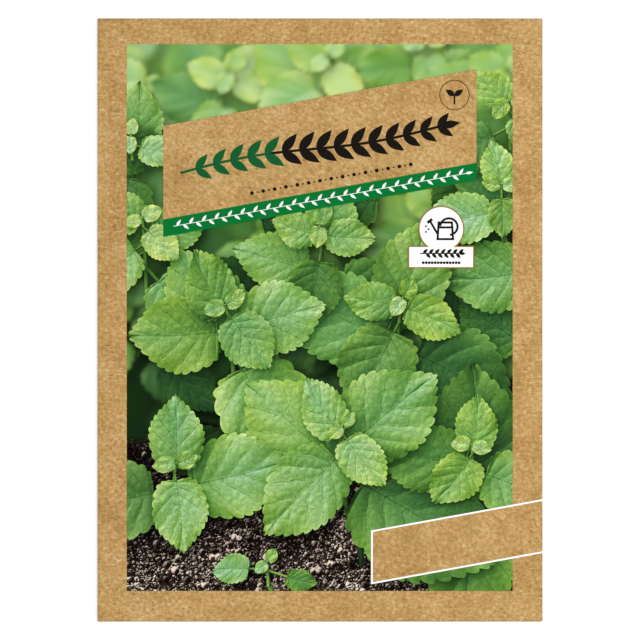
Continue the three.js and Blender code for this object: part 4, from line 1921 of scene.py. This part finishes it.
@dataclass
class NamePanels:
    """The kraft banner, the green strip under it and the kraft tab, with a plain ornament in each."""

    printer: FrontPrinter
    banner: SlantedPanel = SlantedPanel(-41.5, 41.45, 34.13, 58.9)
    strip: SlantedPanel = SlantedPanel(-41.5, 41.45, 29.5, 34.13)
    tab: SlantedPanel = SlantedPanel(13.5, 58.97, -72.45, -58.14)
    tab_line: float = 0.48
    sprig_start: float = -37.0
    sprig_end: float = 32.5
    sprig_y: float = 45.6
    sprig_leaf: float = 6.4
    sprig_pairs: int = 15
    sprig_green_end: float = -14.0
    sprig_bow: float = 1.0
    sprig_pen: float = 0.34
    sprig_spread: float = 0.72
    rule_start: float = -18.0
    rule_end: float = 24.0
    rule_rise: float = 2.7
    rule_dots: int = 29
    rule_radii: tuple[float, float] = (0.5, 0.24)
    vine_start: float = -38.8
    vine_end: float = 39.4
    vine_leaf: float = 2.0

    def build(self) -> None:
        """Prints the panels and their ornaments."""
        shapes = self.printer.shapes
        banner, strip, tab = self.banner.grid(), self.strip.grid(), self.tab.grid()
        shapes("banner_panel", [banner], Level.PANEL, Ink.KRAFT)
        shapes("green_strip", [strip], Level.PANEL, Ink.GREEN)
        shapes("lower_tab_line", [tab], Level.PANEL_EDGE, Ink.WHITE)
        inner = self.tab.inset(self.tab_line, 0, self.tab_line).grid()
        shapes("lower_tab", [inner], Level.PANEL, Ink.KRAFT)
        self.build_sprig()
        self.build_rule()
        self.build_vine()

    def axis(self, start: float, end: float, height: float, steps: int) -> Array:
        """Points of a slanted line at a height over x = 0."""
        x = np.linspace(start, end, steps)
        return np.stack([x, height + self.banner.slant * x], axis=1)

    def build_sprig(self) -> None:
        """A leafy sprig across the banner: a bowed stem with pairs of pointed leaves, green then black."""
        slope = math.atan(self.banner.slant)
        path = self.axis(self.sprig_start, self.sprig_end, self.sprig_y, 81)
        part = (path[:, 0] - self.sprig_start) / (self.sprig_end - self.sprig_start)
        path[:, 1] += self.sprig_bow * np.sin(2 * np.pi * part)
        leaves: dict[bool, list[Grid]] = {True: [], False: []}
        for place in (np.arange(self.sprig_pairs) + 0.9) / (self.sprig_pairs + 0.2):
            x = self.sprig_start + place * (self.sprig_end - self.sprig_start)
            foot = np.array([x, np.interp(x, path[:, 0], path[:, 1])])
            size = self.sprig_leaf * (0.74 + 0.26 * math.sin(math.pi * place))
            turns = (self.sprig_spread, -self.sprig_spread)
            pair = [blade(foot, slope + turn, size, 0.2 * size) for turn in turns]
            leaves[x < self.sprig_green_end].extend(pair)
        tip = blade(path[-1] - (0.4, 0.1), slope, self.sprig_leaf * 0.8, 0.16 * self.sprig_leaf)
        leaves[False].append(tip)
        cut = int(np.searchsorted(path[:, 0], self.sprig_green_end))
        stems = {True: ribbon(path[: cut + 1], self.sprig_pen), False: ribbon(path[cut:], self.sprig_pen)}
        for name, green, ink in (("green", True, Ink.DEEP_GREEN), ("black", False, Ink.BLACK)):
            self.printer.shapes(f"banner_sprig_{name}_stem", [stems[green]], Level.MARK, ink)
            self.printer.shapes(f"banner_sprig_{name}_leaves", leaves[green], Level.SECOND_MARK, ink)

    def build_rule(self) -> None:
        """A rule of dots, large and small by turns, between the sprig and the strip."""
        path = self.axis(self.rule_start, self.rule_end, self.banner.low + self.rule_rise, self.rule_dots)
        dots = [disc(point, self.rule_radii[number % 2], 4) for number, point in enumerate(path)]
        self.printer.shapes("banner_rule", dots, Level.MARK, Ink.BLACK)

    def build_vine(self) -> None:
        """A small white vine along the strip: a thin line with leaves on alternate sides."""
        middle = (self.strip.low + self.strip.high) / 2
        path = self.axis(self.vine_start, self.vine_end, middle, 93)
        line, leaves = vine(path, 2, self.vine_leaf, 0.36, 0.075)
        self.printer.shapes("strip_vine", [line], Level.MARK, Ink.WHITE)
        self.printer.shapes("strip_vine_leaves", leaves, Level.SECOND_MARK, Ink.WHITE)


@dataclass
class RingMark:
    """A thin ring with a seedling in it, at the banner's upper right."""

    printer: FrontPrinter
    centre: tuple[float, float] = (35.6, 59.6)
    radius: float = 3.9
    line: float = 0.13

    def build(self) -> None:
        """Prints the ring as a closed band, and the seedling as a stem and two leaves."""
        turn = np.linspace(0, 2 * np.pi, 73)[:-1, None]
        radius = self.radius + self.line * np.array([[1, -1]])
        x = self.centre[0] + radius * np.cos(turn)
        y = self.centre[1] + radius * np.sin(turn)
        maker = MeshMaker()
        maker.add_loop(self.printer.paper.printed_point(x, y, Level.MARK.value)[:, ::-1])
        dress(maker.make("ring_mark", self.printer.inks[Ink.BROWN]))
        foot = np.array(self.centre) + (0, -0.2)
        stem = ribbon(np.array([foot - (0, 2.3), foot - (0, 1.1), foot + (0, 0.2)]), 0.22)
        leaves = [blade(foot, turn, 2.8, 0.75) for turn in (0.62, math.pi - 0.62)]
        marks = [stem, *leaves]
        self.printer.shapes("ring_seedling", marks, Level.SECOND_MARK, Ink.BLACK)


@dataclass
class RoundBadge:
    """A white disc on a white label, both with a thin rust line round them, and a watering can."""

    printer: FrontPrinter
    centre: tuple[float, float] = (32.1, 24.1)
    radius: float = 5.76
    label: SlantedPanel = SlantedPanel(23.6, 40.5, 14.0, 19.3, slant=0)
    line: float = 0.32
    pen: float = 0.29

    def build(self) -> None:
        """Prints the rust line, then the white, then the watering can."""
        shapes = self.printer.shapes
        edge = [disc(self.centre, self.radius + self.line, 24)]
        shapes("badge_disc_line", edge, Level.PANEL_EDGE, Ink.RUST)
        outer = self.label.inset(-self.line, -self.line, -self.line).grid()
        shapes("badge_label_line", [outer], Level.PANEL, Ink.RUST)
        label = self.label.grid()
        shapes("badge_label", [label], Level.SECOND_PANEL, Ink.WHITE)
        white = [disc(self.centre, self.radius, 24)]
        shapes("badge_disc", white, Level.MARK, Ink.WHITE)
        shapes("badge_can", self.watering_can(), Level.SECOND_MARK, Ink.BLACK)
        shapes("badge_label_leaves", self.label_row(), Level.MARK, Ink.BLACK)

    def watering_can(self) -> list[Grid]:
        """A watering can in line: its body, spout, rose and handle, and three drops under the rose.

        Returns:
            The can's lines and drops.
        """
        middle = np.array(self.centre) + (0.5, 0.5)
        body = np.array([[0.7, 1.2], [-1.2, 1.2], [-1.5, -3.2], [2.6, -3.2], [2.3, 1.2], [0.7, 1.2]])
        spout = np.array([[-1.35, -2.0], [-2.3, -0.5], [-3.5, 1.6]])
        rose = np.array([[-4.2, 1.1], [-3.55, 1.6], [-2.9, 2.1]])
        turn = np.linspace(0.98 * np.pi, -0.46 * np.pi, 19)
        handle = np.stack([1.5 + 2.3 * np.cos(turn), 0.1 + 2.2 * np.sin(turn)], axis=1)
        band = np.array([[-1.3, -0.1], [0.5, -0.1], [2.4, -0.1]])
        lines = [ribbon(middle + path, self.pen) for path in (body, spout, handle, band)]
        drops = [disc(middle + place, 0.26, 4) for place in ((-4.6, 0.2), (-3.9, -0.6), (-4.6, -1.3))]
        return [*lines, ribbon(middle + rose, 0.36), *drops]

    def label_row(self) -> list[Grid]:
        """A small vine along the label, over a dotted line.

        Returns:
            The vine's line and leaves, and the dots.
        """
        y = (self.label.low + self.label.high) / 2
        x = np.linspace(self.label.left + 2.9, self.label.right - 2.9, 15)
        line, leaves = vine(np.stack([x, 0 * x + y + 0.95], axis=1), 1, 1.75, 0.42, 0.15)
        dots = [disc((place, y - 1.5), 0.38, 4) for place in x[1:-1]]
        return [line, *leaves, *dots]


# ---- Inside, studio and the whole ----


def dress_inside(nodes: dict[str, MeshObject], finishes: FinishSet) -> None:
    """Gives the glue lines, the sachet and the seeds their materials.

    Args:
        nodes: The CAD's nodes by name.
        finishes: The packet's materials.
    """
    inside = {name + "_glue": finishes.glue for name in ("side_seam", "top_flap", "bottom_flap")}
    inside |= {"seed_sachet": finishes.sachet, "seeds": finishes.seed}
    for name, material in inside.items():
        nodes[name].data.materials.clear()
        nodes[name].data.materials.append(material)
        LOG.info("%s: dressed", name)


@dataclass(frozen=True)
class Lamp:
    """A square soft lamp that points at the packet's middle. Its place and size are in metres."""

    name: str
    place: Triple
    size: float
    power: float

    def build(self) -> None:
        """Makes the lamp, with its -Z towards the packet."""
        light = bpy.data.lights.new(self.name, "AREA")
        light.size = self.size
        light.energy = self.power
        lamp = bpy.data.objects.new(self.name, light)
        lamp.location = self.place
        lamp.rotation_euler = Vector(self.place).to_track_quat("Z", "Y").to_euler()
        bpy.context.scene.collection.objects.link(lamp)


@dataclass
class Studio:
    """A white floor, soft light and a camera straight above the packet."""

    frame_width: float = 169.67
    lens: float = 135.0
    sensor: float = 36.0
    sky: float = 0.80
    floor_half: float = 4.0
    floor_gap: float = 0.03
    floor_glow: float = 0.23
    lamps: tuple[Lamp, ...] = (
        Lamp("key_lamp", (0.4, 0.02, 0.42), 0.5, 1.24),
        Lamp("fill_lamp", (-0.9, 0.5, 1.1), 1.2, 1.1),
    )

    def build(self, paper: FoldedPaper) -> None:
        """Makes the floor, the sky, the lamps and the camera.

        Args:
            paper: The packet's paper, for the height that the camera measures from.
        """
        self.build_floor()
        self.build_sky()
        for lamp in self.lamps:
            lamp.build()
        self.build_camera(paper.front_mid)
        bpy.context.scene.view_settings.view_transform = "Standard"

    def build_floor(self) -> None:
        """A plain white floor just under the packet."""
        half = self.floor_half / MM
        side = np.linspace(-half, half, 9)
        x, y = np.meshgrid(side, side)
        maker = MeshMaker()
        maker.add_grid(np.stack([x, y, 0 * x - self.floor_gap], axis=-1))
        paint = MottledFinish("floor", (250, 250, 250), (252, 252, 252), 0.01, roughness=0.9, specular=0)
        white = paint.material()
        shader = white.node_tree.nodes["Principled BSDF"]
        shader.inputs["Emission Color"].default_value = (1, 1, 1, 1)
        shader.inputs["Emission Strength"].default_value = self.floor_glow
        maker.make("floor", white)

    def build_sky(self) -> None:
        """The same soft light from everywhere, which looks plain white where it is seen itself."""
        world = bpy.data.worlds.new("studio_sky")
        world.use_nodes = True
        background = world.node_tree.nodes["Background"]
        background.inputs["Color"].default_value = (1, 1, 1, 1)
        kit = NodeKit(world.node_tree)
        seen = kit.add("ShaderNodeLightPath").outputs["Is Camera Ray"]
        kit.feed(background.inputs["Strength"], kit.math("MULTIPLY_ADD", seen, 1 - self.sky, self.sky))
        bpy.context.scene.world = world

    def build_camera(self, plane: float) -> None:
        """A long lens straight above, so far up that frame_width fills the view at the packet's rim.

        Args:
            plane: The rim's height in millimetres.
        """
        data = bpy.data.cameras.new("camera")
        data.lens = self.lens
        data.sensor_width = self.sensor
        camera = bpy.data.objects.new("camera", data)
        camera.location = (0, 0, (self.frame_width * self.lens / self.sensor + plane) * MM)
        bpy.context.scene.collection.objects.link(camera)
        bpy.context.scene.camera = camera


def main() -> None:
    """Builds the packet's pieces in order, then the studio."""
    logging.basicConfig(level=logging.INFO, format="%(message)s")
    finishes = FinishSet()
    paper = FoldedPaper.of_node("packet_envelope")
    printer = FrontPrinter(paper, finishes.inks)
    Envelope(paper).build(finishes.kraft)
    PlantPicture(paper).build(finishes)
    for part in (NamePanels, RingMark, RoundBadge):
        part(printer).build()
    dress_inside(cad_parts, finishes)
    Studio().build(paper)


if __name__ == "__main__":
    main()
